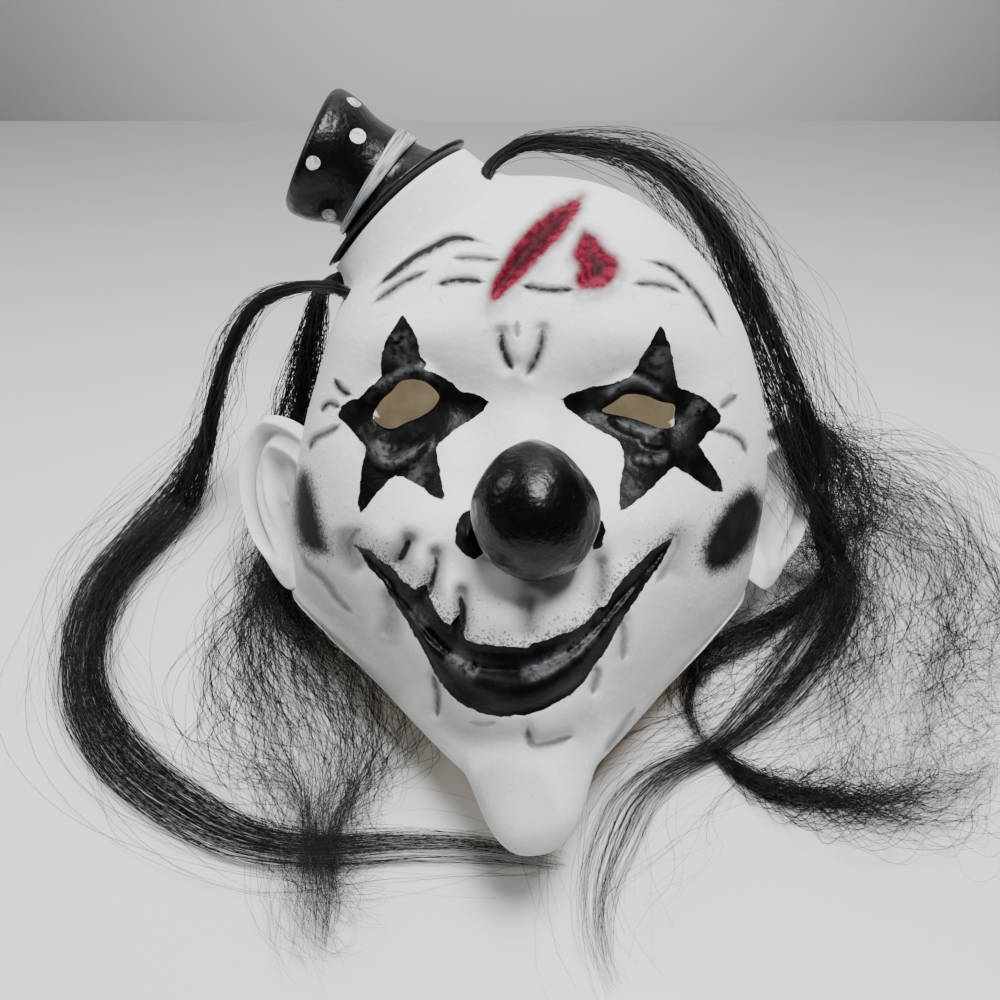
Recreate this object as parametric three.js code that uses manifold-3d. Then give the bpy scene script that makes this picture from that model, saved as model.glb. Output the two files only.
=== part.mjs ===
// A clown mask of moulded latex with a mini top hat and two tufts of long hair, lying on its back.
// Millimetres, +Z up. The origin is the middle of the flat that the back of the head rests on.
// Head frame while modelling: +X to the wearer's left, +Y towards the back of the head, +Z to the crown,
// with its origin midway between the eye holes.
import * as THREE from 'three';
import { mergeVertices } from 'three/addons/utils/BufferGeometryUtils.js';
import Module from 'manifold-3d';

const wasm = await Module();
wasm.setup();

// Head
const HEAD_WIDTH = 180; // over the temples
const HEAD_DEPTH = 175; // brow to the back of the head
const HEAD_HEIGHT = 234; // crown to chin
const WALL = 2.5; // latex
const TIP_BACK = 43; // degrees from upright, as it lies
const PRESS = 17; // how far its own weight presses the back of the head flat

// Nose and chin
const NOSE_WIDTH = 38;
const NOSE_HEIGHT = 43;
const NOSE_LENGTH = 40;
const CHIN_PUSH = 16.5; // chin beyond the jaw line

// Ears
const EAR_LENGTH = 70;
const EAR_WIDTH = 38;
const EAR_THICKNESS = 5;
const EAR_BOWL = 7;
const EAR_SINK = 11; // of the ear's width that is inside the head

// Mini top hat
const CROWN_HEIGHT = 38;
const CROWN_TOP_DIAMETER = 46;
const CROWN_WAIST_DIAMETER = 39;
const CROWN_WALL = 2.4;
const BAND_WIDTH = 4.5;
const BAND_THICKNESS = 1.2;
const BRIM_DIAMETER = 65;
const BRIM_THICKNESS = 1.8;
const SEAT_HEIGHT = 14; // white latex that swells up under the brim
const SEAT_SWEEP = 5; // how far it has swept out that far below the brim
const HAT_BEND = 24; // degrees the crown leans over from its brim
const BRIM_CURL = 4; // how far the front and the back of the brim curl up

// Hair
const LOCK_WIDTH = 20;
const LOCK_THICKNESS = 7;
const ROOT_RISE = 4; // how far a root stands straight out of the scalp

const GAP = 0.3; // between separate pieces
const COLUMNS = 54;
const OUTER_ROWS = 38;
const INNER_ROWS = 13;

// The face is laid out on a grid of 180 parts to the head's width, 175 to its depth and 234 to its height.
const GRID_X = HEAD_WIDTH / 180;
const GRID_Y = HEAD_DEPTH / 175;
const GRID_Z = HEAD_HEIGHT / 234;
// Relief is raised and sunk along lines to this point in front of the face.
const CARVE_FROM = new THREE.Vector3(-8.7 * GRID_X, -330 * GRID_Y, -31.1 * GRID_Z);

// One row for each section, crown to rim. x is a share of half the head's width, y of its depth and z of its height.
// front is the middle of the face, cheek halfway round to the side; shift moves the side and back sideways.
const SECTIONS = [
  // zFront, yFront, xCheek, yCheek, zCheek, xSide, ySide, zSide, yBack, zBack, shift
  [0.392, 0.354, 0.00, 0.354, 0.392, 0.00, 0.354, 0.392, 0.354, 0.392, 0.00],
  [0.375, 0.215, 0.20, 0.265, 0.380, 0.27, 0.366, 0.380, 0.510, 0.375, 0.02],
  [0.335, 0.100, 0.36, 0.170, 0.338, 0.48, 0.375, 0.340, 0.660, 0.333, 0.04],
  [0.275, 0.020, 0.49, 0.105, 0.278, 0.655, 0.385, 0.280, 0.777, 0.262, 0.05],
  [0.207, -0.030, 0.59, 0.065, 0.210, 0.78, 0.394, 0.213, 0.850, 0.180, 0.06],
  [0.137, -0.052, 0.66, 0.042, 0.140, 0.865, 0.400, 0.145, 0.897, 0.100, 0.07],
  [0.068, -0.055, 0.70, 0.035, 0.068, 0.930, 0.405, 0.068, 0.920, 0.034, 0.07],
  [0.000, -0.030, 0.72, 0.035, -0.004, 0.985, 0.410, -0.013, 0.937, -0.026, 0.06],
  [-0.085, -0.055, 0.70, 0.030, -0.080, 1.01, 0.410, -0.085, 0.943, -0.085, 0.05],
  [-0.180, -0.100, 0.66, 0.030, -0.165, 1.01, 0.405, -0.154, 0.925, -0.145, 0.04],
  [-0.273, -0.135, 0.61, 0.045, -0.245, 1.00, 0.395, -0.205, 0.890, -0.197, 0.03],
  [-0.350, -0.155, 0.57, 0.075, -0.315, 0.990, 0.383, -0.244, 0.840, -0.240, 0.02],
  [-0.415, -0.145, 0.53, 0.100, -0.370, 0.980, 0.372, -0.267, 0.780, -0.274, 0.01],
  [-0.462, -0.120, 0.51, 0.120, -0.412, 0.970, 0.362, -0.282, 0.710, -0.300, 0.00],
  [-0.505, -0.120, 0.50, 0.135, -0.435, 0.965, 0.357, -0.290, 0.640, -0.325, 0.00],
  [-0.540, -0.085, 0.49, 0.145, -0.448, 0.960, 0.354, -0.296, 0.595, -0.338, 0.00],
  [-0.525, 0.000, 0.48, 0.155, -0.450, 0.955, 0.350, -0.302, 0.526, -0.355, 0.00],
];

// Swellings and hollows of the face, on the face grid.
const MOUNDS = [
  // x, z, halfWidth, halfHeight, turn in degrees, height in mm
  [-40, 24, 26, 9, 6, 4], // brows
  [41, 23, 26, 9, -6, 4],
  [0, 16, 10, 12, 0, 2.5],
  [-39, 0, 19, 13, 22, -7], // eye sockets
  [38, -1, 20, 12, -12, -7],
  [-17, -4, 8, 11, 0, -3],
  [17, -4, 8, 11, 0, -3],
  [1, -20, 12, 18, 0, 9], // bridge of the nose
  [-38, -40, 17, 12, 10, 5], // cheek apples
  [38, -38, 17, 12, -10, 5.5],
  [0, -66, 30, 15, 0, 4], // muzzle
  [-35, 55, 26, 20, 0, 2], // forehead
  [36, 55, 26, 20, 0, 2],
  [0, -111, 20, 5, 0, -4.5], // hollow over the chin
  [-57, -50, 7, 7, 0, -4], // corners of the mouth
  [51, -45, 7, 6, 0, -3],
  [-45, -85, 14, 20, -35, 3], // flanks of the smile
  [40, -82, 14, 20, 35, 3],
];

// Folds and grooves, on the face grid.
const FOLDS = [
  // half width and height in mm, then the points of the fold
  { half: 2.2, height: -3, path: [[-39, -44], [-40, -48], [-43.5, -54]] }, // over the upper lip
  { half: 2.2, height: -3, path: [[-30, -50], [-31, -55.5], [-32.8, -66]] },
  { half: 2.2, height: -3, path: [[-21.4, -61], [-21.4, -77.6]] },
  { half: 3.5, height: -1.5, path: [[3, -60], [0.7, -77.6]] },
  { half: 2.4, height: -2.2, path: [[25, -51], [24.3, -64]] },
  { half: 2.2, height: -2, path: [[-46, -61], [-45.3, -68.4], [-46, -76]] }, // beside the lips
  { half: 2.2, height: -2.5, path: [[-30.7, -87], [-29.6, -102]] },
  { half: 2.2, height: -2, path: [[31.8, -69], [31.4, -83.3]] },
  { half: 2.2, height: -2, path: [[23.2, -83.3], [22.1, -94.8]] },
  { half: 2.4, height: -2.2, path: [[-5.4, 27], [-3.2, 11]] }, // frown
  { half: 2.4, height: -2.2, path: [[3.5, 24], [-1.5, 7]] },
  { half: 2.4, height: 2.2, path: [[-54, 1], [-47.5, 8], [-40, 12.5], [-34, 13], [-26, 6]] }, // lids
  { half: 2.4, height: 2.2, path: [[22, 2], [28, 7], [36, 9.5], [43, 7], [50, 2]] },
  { half: 2.4, height: 2, path: [[-54, -6], [-50, -12], [-43, -14], [-34, -10], [-27, -3]] }, // bags
  { half: 2.4, height: 2, path: [[26, -5], [34, -9], [43, -12], [51, -10]] },
  { half: 3, height: -1.4, path: [[-52, 37], [-37, 48], [-25, 54.5], [-11, 52.5]] }, // forehead wrinkles
  { half: 3, height: -1.4, path: [[-52, 33], [-41, 40], [-31, 45]] },
  { half: 3, height: -1.4, path: [[37, 48], [46, 46], [58, 34], [65, 22]] },
  { half: 7, height: -3, path: [[17, 67], [4, 51], [-10, 34]] }, // the long gash
  { half: 6, height: -2.5, path: [[20, 51], [22, 45]] }, // the small wound
];

// Edges of the mouth on the face grid, corner to corner: x against z.
const LIP_TOP = [[-58, -44], [-47, -53], [-36.7, -61.2], [-29, -68.4], [-20.3, -76], [-0.7, -79.2], [10, -76.9],
  [23.6, -66.6], [38.5, -50.5], [49.5, -42.5]];
const LIP_PARTING = [[-58, -44], [-44, -60], [-32, -75.5], [-15.7, -86.4], [-2.8, -87.3], [15.7, -79.8],
  [31.4, -62.6], [49.5, -42.5]];
const LIP_BOTTOM = [[-58, -44], [-44, -61.2], [-37, -74.8], [-25.7, -94.8], [-11.4, -102.2], [-0.7, -102.2],
  [13.6, -96.9], [25.7, -79.8], [35, -63.4], [49.5, -42.5]];
const LIP_SET_BACK = 3.2;
const LOWER_LIP_HEIGHT = 5.5;
const UPPER_LIP_HEIGHT = 1.5;

// Outlines of the eye holes on the face grid.
const EYE_HOLES = [
  [[-50, -3.4], [-48.5, 0], [-44.8, 3.8], [-40.2, 7.5], [-37, 8.8], [-33.7, 7.9], [-30.5, 5.6], [-28.7, 2.8],
    [-29.6, 0.5], [-35.6, -3.6], [-42, -7.1], [-46.2, -7.4], [-48.5, -5.5]],
  [[24.3, -1.5], [27.5, 0.8], [32.2, 3.5], [36.8, 3.8], [44.2, 0.5], [49, -0.8], [48.8, -4.5], [48, -7.1],
    [43.7, -7.4], [39, -5.9], [34.5, -4.1], [29.8, -2.7]],
];

// Places on the head: row along the sections, degrees round from the middle of the face.
const HAT_PLACE = { row: 0.16, turn: -58, above: 3.3 };
const EAR_ROW = 0.545;
const EAR_TURN = 84;

// Where the locks grow from the head. Locks of the same tuft that grow together share a root.
const ROOTS = {
  left: [{ row: 0.285, turn: -54 }, { row: 0.263, turn: -62.5 }],
  right: [{ row: 0.13, turn: -17.5 }, null, null, null],
};

// Locks of hair after their root, to the tip. x is in hundredths of the head's width, y of its depth and z of its height,
// from the origin and upwards; wide and thick are shares of LOCK_WIDTH and LOCK_THICKNESS.
const LOCKS = {
  left: [
    [
      // x, y, z, wide, thick
      [-47.5, 5, 54, 0.3, 0.8],
      [-57, 10.5, 49, 0.4, 0.9],
      [-64, 12.5, 42, 0.55, 0.9],
      [-71, 14, 31.5, 0.75, 0.9],
      [-78, 14.5, 17, 1.1, 1.0],
      [-85.5, 10, 5, 1.5, 1.1],
      [-93, -3, 2, 1.5, 1.1],
      [-98, -17, 1.9, 1.4, 1.1],
      [-98.5, -31, 1.9, 1.3, 1.1],
      [-96, -44, 1.9, 1.2, 1.1],
      [-90, -56, 1.9, 1.25, 1.1],
      [-80, -67.5, 1.9, 1.25, 1.1],
      [-67, -77, 1.9, 1.15, 1.1],
      [-54, -84, 2.1, 1.0, 1.2],
      [-40, -87, 2.4, 0.9, 1.3],
      [-24, -86, 2.0, 0.85, 1.1],
      [-10, -86.5, 1.6, 0.65, 0.9],
      [0, -88, 1.3, 0.45, 0.7],
      [8, -90, 1.1, 0.15, 0.5],
    ],
    [
      [-42.5, 5.5, 53, 0.3, 0.8],
      [-46.5, 9, 44, 0.35, 0.9],
      [-50.5, 8.5, 32.5, 0.45, 0.9],
      [-54, 6, 19.5, 0.55, 0.9],
      [-57, 0, 8.5, 0.65, 1.2],
      [-58.5, -13, 3.4, 0.9, 1.7],
      [-58, -27, 3.4, 1.3, 2.0],
      [-54, -40, 3.6, 1.8, 2.2],
      [-47.5, -52, 3.9, 2.15, 2.4],
      [-42, -64, 4.2, 2.2, 2.6],
      [-40, -74, 4.2, 2.15, 2.6],
      [-39.5, -83, 4.2, 1.75, 2.6],
      [-38.5, -91, 4.2, 1.35, 2.6],
      [-37, -99, 4.0, 1.3, 2.4],
      [-36.5, -105, 3.4, 1.0, 1.9],
      [-36.5, -107.5, 2.8, 0.5, 1.0],
    ],
  ],
  right: [
    [
      [-5, 13, 73, 0.35, 0.9],
      [1, 22, 72.5, 0.5, 0.9],
      [9, 26.5, 71, 0.65, 0.9],
      [19, 28, 69.5, 0.7, 0.9],
      [28, 27.5, 67, 0.75, 0.9],
      [36.5, 24.5, 62.5, 0.8, 0.9],
      [43.5, 19.5, 57, 0.85, 0.9],
      [49.3, 13, 50, 0.9, 0.9],
      [54.5, 4.5, 43, 0.95, 0.9],
      [59, -5.5, 36, 0.95, 0.9],
      [62.5, -14, 29, 0.95, 1.0],
      [67.5, -17.5, 19, 0.95, 1.0],
      [72.5, -19, 9, 0.95, 1.2],
      [74, -23, 4, 1.0, 1.5],
      [70, -31, 2.9, 1.0, 1.5],
      [63, -40.5, 2.3, 1.05, 1.3],
      [54, -51, 2.1, 0.95, 1.2],
      [46.5, -58.5, 1.9, 0.7, 1.1],
      [39.5, -64.5, 1.9, 0.5, 1.1],
      [29, -70, 1.9, 0.65, 1.1],
      [21.5, -77, 1.9, 0.85, 1.1],
      [17, -86, 1.9, 0.85, 1.1],
      [14, -94, 1.7, 0.65, 1.0],
      [13, -102, 1.5, 0.45, 0.9],
      [13.8, -108.5, 1.3, 0.3, 0.8],
      [15.5, -114, 1.1, 0.15, 0.6],
    ],
    [
      [71, -20, 5, 0.55, 1.2],
      [64, -27.5, 3.8, 0.65, 1.5],
      [55.5, -33, 3.2, 0.7, 1.4],
      [46.5, -38, 2.8, 0.65, 1.3],
      [39.5, -43.5, 2.4, 0.55, 1.2],
      [36, -51, 2.1, 0.5, 1.2],
      [36.5, -58.5, 1.9, 0.45, 1.1],
      [40.5, -66, 1.8, 0.4, 1.0],
    ],
    [
      [58.5, -5, 37, 0.5, 0.9],
      [65, -1, 30, 1.1, 1.6],
      [73, 2, 21, 1.7, 2.4],
      [81, 1, 13, 2.2, 3.2],
      [87.5, -4, 8.5, 2.6, 3.6],
      [90, -14, 6.8, 2.8, 3.8],
      [88, -26, 6.2, 2.6, 3.6],
      [84, -38, 5.8, 2.3, 3.3],
      [79, -49, 5, 2.1, 3.0],
      [74.5, -60, 4.2, 1.9, 2.5],
      [71.5, -70, 3.4, 1.5, 1.9],
      [70, -79, 2.6, 0.9, 1.3],
    ],
    [
      [38.5, -64.5, 1.8, 0.4, 1.0],
      [45, -71.5, 1.8, 0.5, 1.0],
      [53, -76, 1.8, 0.6, 1.0],
      [62.5, -78, 1.8, 0.65, 1.0],
      [73, -79, 1.9, 0.75, 1.1],
      [83.5, -77.5, 1.9, 0.85, 1.1],
      [92, -73, 1.8, 0.6, 1.0],
      [97.5, -67.5, 1.5, 0.3, 0.8],
    ],
  ],
};

const radians = THREE.MathUtils.degToRad;

function smooth(low, high, value) {
  return THREE.MathUtils.smoothstep(value, low, high);
}

// Catmull-Rom through the rows of a table, at t from 0 to 1.
function rowAt(table, t) {
  const last = table.length - 1;
  const place = THREE.MathUtils.clamp(t, 0, 1) * last;
  const k = Math.min(Math.floor(place), last - 1);
  const u = place - k;
  return table[k].map((b, column) => {
    const c = table[k + 1][column];
    const a = k > 0 ? table[k - 1][column] : 2 * b - c;
    const d = k + 2 <= last ? table[k + 2][column] : 2 * c - b;
    return 0.5 * (2 * b + (c - a) * u + (2 * a - 5 * b + 4 * c - d) * u * u + (3 * b - a - 3 * c + d) * u ** 3);
  });
}

// A curve that is odd in the turn, through its values at 45, 90 and 135 degrees.
function oddSeries(cheek, side, rear, turn) {
  const sum = (cheek + rear) / 2 / Math.SQRT1_2;
  const second = (cheek - rear) / 2;
  return (sum + side) / 2 * Math.sin(turn) + second * Math.sin(2 * turn) + (sum - side) / 2 * Math.sin(3 * turn);
}

// A curve that is even in the turn, through its values at 0, 45, 90, 135 and 180 degrees.
function evenSeries(values, turn) {
  const last = values.length - 1;
  let total = 0;
  for (let k = 0; k <= last; k += 1) {
    let amount = 0;
    values.forEach((value, j) => {
      const weight = j === 0 || j === last ? 0.5 : 1;
      amount += weight * value * Math.cos(Math.PI * k * j / last);
    });
    const share = k === 0 || k === last ? 1 / last : 2 / last;
    total += amount * share * Math.cos(k * turn);
  }
  return total;
}

// The plain head, before its chin, face and nose.
function plainHead(t, turn) {
  const [zFront, yFront, xCheek, yCheek, zCheek, xSide, ySide, zSide, yBack, zBack, shift] = rowAt(SECTIONS, t);
  const xRear = xSide * 0.74;
  const yRear = ySide + (yBack - ySide) * 0.7;
  const zRear = zSide + (zBack - zSide) * 0.6;
  const y = evenSeries([yFront, yCheek, ySide, yRear, yBack], turn) * HEAD_DEPTH;
  const z = evenSeries([zFront, zCheek, zSide, zRear, zBack], turn) * HEAD_HEIGHT;
  const x = oddSeries(xCheek, xSide, xRear, turn) * HEAD_WIDTH / 2;
  const lean = shift * HEAD_WIDTH / 2 * smooth(-15 * GRID_Y, 55 * GRID_Y, y);
  return new THREE.Vector3(x + lean, y, z);
}

// Where the line from the carving point through p crosses the eye plane, on the face grid.
function faceGrid(p) {
  const scale = CARVE_FROM.y / (CARVE_FROM.y - p.y);
  const x = (p.x - CARVE_FROM.x) * scale + CARVE_FROM.x;
  const z = (p.z - CARVE_FROM.z) * scale + CARVE_FROM.z;
  return [x / GRID_X, z / GRID_Z];
}

function distanceToPath(x, z, path) {
  let nearest = Infinity;
  for (let k = 0; k + 1 < path.length; k += 1) {
    const [ax, az] = path[k];
    const bx = path[k + 1][0] - ax;
    const bz = path[k + 1][1] - az;
    const u = THREE.MathUtils.clamp(((x - ax) * bx + (z - az) * bz) / (bx * bx + bz * bz), 0, 1);
    nearest = Math.min(nearest, Math.hypot(x - ax - u * bx, z - az - u * bz));
  }
  return nearest;
}

function heightOnLine(line, x) {
  const k = Math.max(0, Math.min(line.length - 2, line.findIndex((point) => point[0] > x) - 1));
  const [ax, az] = line[k];
  const [bx, bz] = line[k + 1];
  return az + (bz - az) * THREE.MathUtils.clamp((x - ax) / (bx - ax), 0, 1);
}

function mouthRelief(x, z) {
  if (x < LIP_TOP[0][0] || x > LIP_TOP[LIP_TOP.length - 1][0]) return 0;
  const top = heightOnLine(LIP_TOP, x);
  const parting = heightOnLine(LIP_PARTING, x);
  const bottom = heightOnLine(LIP_BOTTOM, x);
  const inside = smooth(0, 4, top - z) * smooth(0, 4, z - bottom);
  const fullness = Math.min((top - bottom) / 22, 1);
  const onLower = THREE.MathUtils.clamp((parting - z) / Math.max(parting - bottom, 0.1), 0, 1);
  const onUpper = THREE.MathUtils.clamp((z - parting) / Math.max(top - parting, 0.1), 0, 1);
  const swell = z < parting
    ? LOWER_LIP_HEIGHT * fullness * Math.sin(Math.PI * onLower) ** 0.6
    : UPPER_LIP_HEIGHT * Math.sin(Math.PI * onUpper) ** 0.7;
  return inside * (swell - LIP_SET_BACK);
}

function mounds(x, z) {
  let height = 0;
  for (const [mx, mz, halfWidth, halfHeight, turn, rise] of MOUNDS) {
    const c = Math.cos(radians(turn));
    const s = Math.sin(radians(turn));
    const u = ((x - mx) * c + (z - mz) * s) / halfWidth;
    const v = ((z - mz) * c - (x - mx) * s) / halfHeight;
    height += rise * Math.exp(-u * u - v * v);
  }
  return height;
}

function folds(x, z) {
  let height = 0;
  for (const fold of FOLDS) {
    height += fold.height * Math.exp(-((distanceToPath(x, z, fold.path) / fold.half) ** 2));
  }
  return height;
}

// The chin is pushed forwards and down from the jaw.
function pushChin(p) {
  const centre = new THREE.Vector3(2 * GRID_X, -12 * GRID_Y, -120 * GRID_Z);
  const distance = Math.hypot(p.x - centre.x, (p.y - centre.y) / 1.3, p.z - centre.z);
  const amount = 1 - smooth(7 * GRID_X, 25 * GRID_X, distance);
  return p.add(new THREE.Vector3(0, -0.61, -0.79).multiplyScalar(CHIN_PUSH * amount));
}

// The face without its fine folds: both sides of the wall follow it.
function modelledHead(t, turn) {
  const p = pushChin(plainHead(t, turn));
  if (Math.abs(turn) > Math.PI / 2) return p;
  const [x, z] = faceGrid(p);
  const fade = 1 - smooth(25 * GRID_Y, 55 * GRID_Y, p.y);
  const towards = CARVE_FROM.clone().sub(p).normalize();
  return p.addScaledVector(towards, mounds(x, z) * fade);
}

function outerHead(t, turn) {
  const p = modelledHead(t, turn);
  if (Math.abs(turn) > Math.PI / 2) return p;
  const [x, z] = faceGrid(p);
  const fade = 1 - smooth(25 * GRID_Y, 55 * GRID_Y, p.y);
  const towards = CARVE_FROM.clone().sub(p).normalize();
  return p.addScaledVector(towards, (folds(x, z) + mouthRelief(x, z)) * fade);
}

function headNormal(t, turn) {
  const step = 0.01;
  const low = Math.max(t - step, 0.02);
  const high = Math.min(t + step, 1);
  const down = modelledHead(high, turn).sub(modelledHead(low, turn));
  const middle = THREE.MathUtils.clamp(t, 0.03, 1);
  const round = modelledHead(middle, turn + step).sub(modelledHead(middle, turn - step));
  return down.cross(round).normalize();
}

function innerHead(t, turn) {
  const p = modelledHead(t, turn);
  const inside = t < 0.03 ? new THREE.Vector3(0, 0, -1) : headNormal(t, turn).negate();
  return p.addScaledVector(inside, WALL);
}

// Turns are closer together on the face than at the back, and rows than on the crown.
function turnOfColumn(column) {
  const u = 2 * column / COLUMNS - 1;
  return Math.PI * (0.46 * u + 0.54 * u ** 3);
}

function rowShare(u) {
  return u + 0.08 * Math.sin(2 * Math.PI * u);
}

// How the head lies: tipped back, with the lowest part of its back pressed flat on the ground.
const TIPPED = new THREE.Matrix4().makeRotationX(-radians(TIP_BACK));

function restPlace() {
  const samples = [];
  for (let row = 0; row <= 60; row += 1) {
    for (let column = 0; column < 60; column += 1) {
      samples.push(outerHead(row / 60, radians(column * 6 - 180)).applyMatrix4(TIPPED));
    }
  }
  const lowest = Math.min(...samples.map((p) => p.z));
  const ground = lowest + PRESS;
  const pressed = samples.filter((p) => p.z < ground).map((p) => p.y);
  return new THREE.Vector3(0, -(Math.min(...pressed) + Math.max(...pressed)) / 2, -ground);
}

const REST_PLACE = restPlace();
const HEAD_TO_PART = new THREE.Matrix4().makeTranslation(REST_PLACE).multiply(TIPPED);

function laid(p, height) {
  const q = p.applyMatrix4(HEAD_TO_PART);
  q.z = Math.max(q.z, height);
  return q;
}

function setVertices(geometry, place) {
  const position = geometry.getAttribute('position');
  for (let k = 0; k < position.count; k += 1) {
    const p = place(new THREE.Vector3().fromBufferAttribute(position, k), k);
    position.setXYZ(k, p.x, p.y, p.z);
  }
  return geometry;
}

// A closed geometry as a solid: shared corners merged and triangles that merging closed up dropped.
function solid(geometry) {
  const bare = geometry.clone();
  bare.deleteAttribute('normal');
  bare.deleteAttribute('uv');
  const merged = mergeVertices(bare, 1e-4);
  const corners = merged.getIndex().array;
  const kept = [];
  for (let k = 0; k < corners.length; k += 3) {
    const [a, b, c] = corners.slice(k, k + 3);
    if (a !== b && b !== c && c !== a) kept.push(a, b, c);
  }
  const mesh = new wasm.Mesh({
    numProp: 3,
    vertProperties: new Float32Array(merged.getAttribute('position').array),
    triVerts: new Uint32Array(kept),
  });
  const result = new wasm.Manifold(mesh);
  if (result.volume() >= 0) return result;
  for (let k = 0; k < kept.length; k += 3) [kept[k], kept[k + 1]] = [kept[k + 1], kept[k]];
  mesh.triVerts = new Uint32Array(kept);
  return new wasm.Manifold(mesh);
}

function meshOf(name, piece, look) {
  const source = piece.getMesh();
  const geometry = new THREE.BufferGeometry();
  geometry.setAttribute('position', new THREE.BufferAttribute(new Float32Array(source.vertProperties), 3));
  geometry.setIndex(new THREE.BufferAttribute(new Uint32Array(source.triVerts), 1));
  geometry.computeVertexNormals();
  const mesh = new THREE.Mesh(geometry, new THREE.MeshStandardMaterial(look));
  mesh.name = name;
  return mesh;
}

// A lathe whose profile runs down the outside of the wall and back up its inside, laid over the head.
function headWall() {
  const profile = [];
  for (let row = 0; row <= OUTER_ROWS; row += 1) profile.push(new THREE.Vector2(row ? 2 : 0, -row));
  for (let row = INNER_ROWS; row >= 0; row -= 1) profile.push(new THREE.Vector2(row ? 1 : 0, -row));
  const geometry = new THREE.LatheGeometry(profile, COLUMNS);
  return solid(setVertices(geometry, (p, k) => {
    const column = Math.floor(k / profile.length);
    const row = k % profile.length;
    const turn = turnOfColumn(column === COLUMNS ? 0 : column);
    if (row <= OUTER_ROWS) return laid(outerHead(rowShare(row / OUTER_ROWS), turn), 0);
    const innerRow = OUTER_ROWS + 1 + INNER_ROWS - row;
    return laid(innerHead(rowShare(innerRow / INNER_ROWS), turn), WALL);
  }));
}

// The hollow of the head as a solid, to keep what is joined to the wall out of it.
function headHollow() {
  const profile = [];
  for (let row = 0; row <= INNER_ROWS; row += 1) profile.push(new THREE.Vector2(row ? 1 : 0, -row));
  profile.push(new THREE.Vector2(0, -INNER_ROWS));
  const geometry = new THREE.LatheGeometry(profile, COLUMNS);
  const middle = laid(innerHead(1, 0).lerp(innerHead(1, Math.PI), 0.5), WALL);
  return solid(setVertices(geometry, (p, k) => {
    const column = Math.floor(k / profile.length);
    const row = k % profile.length;
    if (row > INNER_ROWS) return middle.clone();
    return laid(innerHead(rowShare(row / INNER_ROWS), turnOfColumn(column === COLUMNS ? 0 : column)), WALL);
  }));
}

function eyeCutter(outline) {
  const shape = new THREE.Shape(outline.map(([x, z]) => new THREE.Vector2(x * GRID_X, z * GRID_Z)));
  const geometry = new THREE.ExtrudeGeometry(shape, { depth: 45 * GRID_Y, bevelEnabled: false });
  geometry.rotateX(Math.PI / 2);
  geometry.translate(0, 25 * GRID_Y, 0);
  // the sides follow the lines to the carving point
  setVertices(geometry, (p) => {
    const scale = (p.y - CARVE_FROM.y) / -CARVE_FROM.y;
    p.x = (p.x - CARVE_FROM.x) * scale + CARVE_FROM.x;
    p.z = (p.z - CARVE_FROM.z) * scale + CARVE_FROM.z;
    return p.applyMatrix4(HEAD_TO_PART);
  });
  return solid(geometry);
}

// An ear is a flattened ball with a bowl, a rolled rim and a narrower lobe.
function ear(side) {
  const anchor = outerHead(EAR_ROW, radians(side * EAR_TURN));
  const outwards = new THREE.Vector3(side * 0.79, 0.61, 0);
  const facing = new THREE.Vector3(side * 0.61, -0.79, 0);
  const upwards = new THREE.Vector3(0, 0, 1);
  const along = outwards.clone().applyAxisAngle(facing, -side * radians(13));
  const up = upwards.applyAxisAngle(facing, -side * radians(13));
  const centre = anchor.addScaledVector(outwards, EAR_WIDTH / 2 - EAR_SINK);
  const geometry = new THREE.SphereGeometry(1, 20, 10);
  setVertices(geometry, (p) => {
    const reach = Math.min(Math.hypot(p.x, p.z), 1);
    const width = EAR_WIDTH / 2 * p.x * (1 + 0.22 * p.z);
    const length = EAR_LENGTH / 2 * p.z;
    const bowl = -EAR_BOWL * (1 - smooth(0.35, 0.8, reach));
    const depth = bowl + p.y * EAR_THICKNESS / 2;
    const q = centre.clone().addScaledVector(along, width).addScaledVector(up, length);
    return q.addScaledVector(facing, depth).applyMatrix4(HEAD_TO_PART);
  });
  return solid(geometry);
}

// The nose is a ball set into the face, hollow and open to the inside.
function noseBall(wall) {
  const geometry = new THREE.SphereGeometry(1, wall ? 14 : 20, wall ? 8 : 12);
  const centre = new THREE.Vector3(1.9 * GRID_X, -33 * GRID_Y, -35 * GRID_Z);
  return solid(setVertices(geometry, (p) => {
    const taper = p.y > 0 ? 1 : 0.93;
    const x = p.x * (NOSE_WIDTH / 2 - wall);
    const y = p.z * (NOSE_LENGTH / 2 - wall);
    const z = p.y * (NOSE_HEIGHT / 2 - wall) * taper;
    return new THREE.Vector3(x, y, z).add(centre).applyMatrix4(HEAD_TO_PART);
  }));
}

// The hat stands on its seat, leaning out to the side, and its crown leans over further.
const HAT_UP = new THREE.Vector3(-0.65, -0.25, 0.72).normalize();
const HAT_OVER = new THREE.Vector3(-0.73, 0, -0.68);
HAT_OVER.addScaledVector(HAT_UP, -HAT_OVER.dot(HAT_UP)).normalize();
const HAT_ACROSS = HAT_UP.clone().cross(HAT_OVER);
const HAT_FOOT = outerHead(HAT_PLACE.row, radians(HAT_PLACE.turn)).addScaledVector(HAT_UP, HAT_PLACE.above);

const WAIST = CROWN_WAIST_DIAMETER / 2;

function hatLean(height) {
  return radians(HAT_BEND) * smooth(0, CROWN_HEIGHT * 0.6, height);
}

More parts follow.
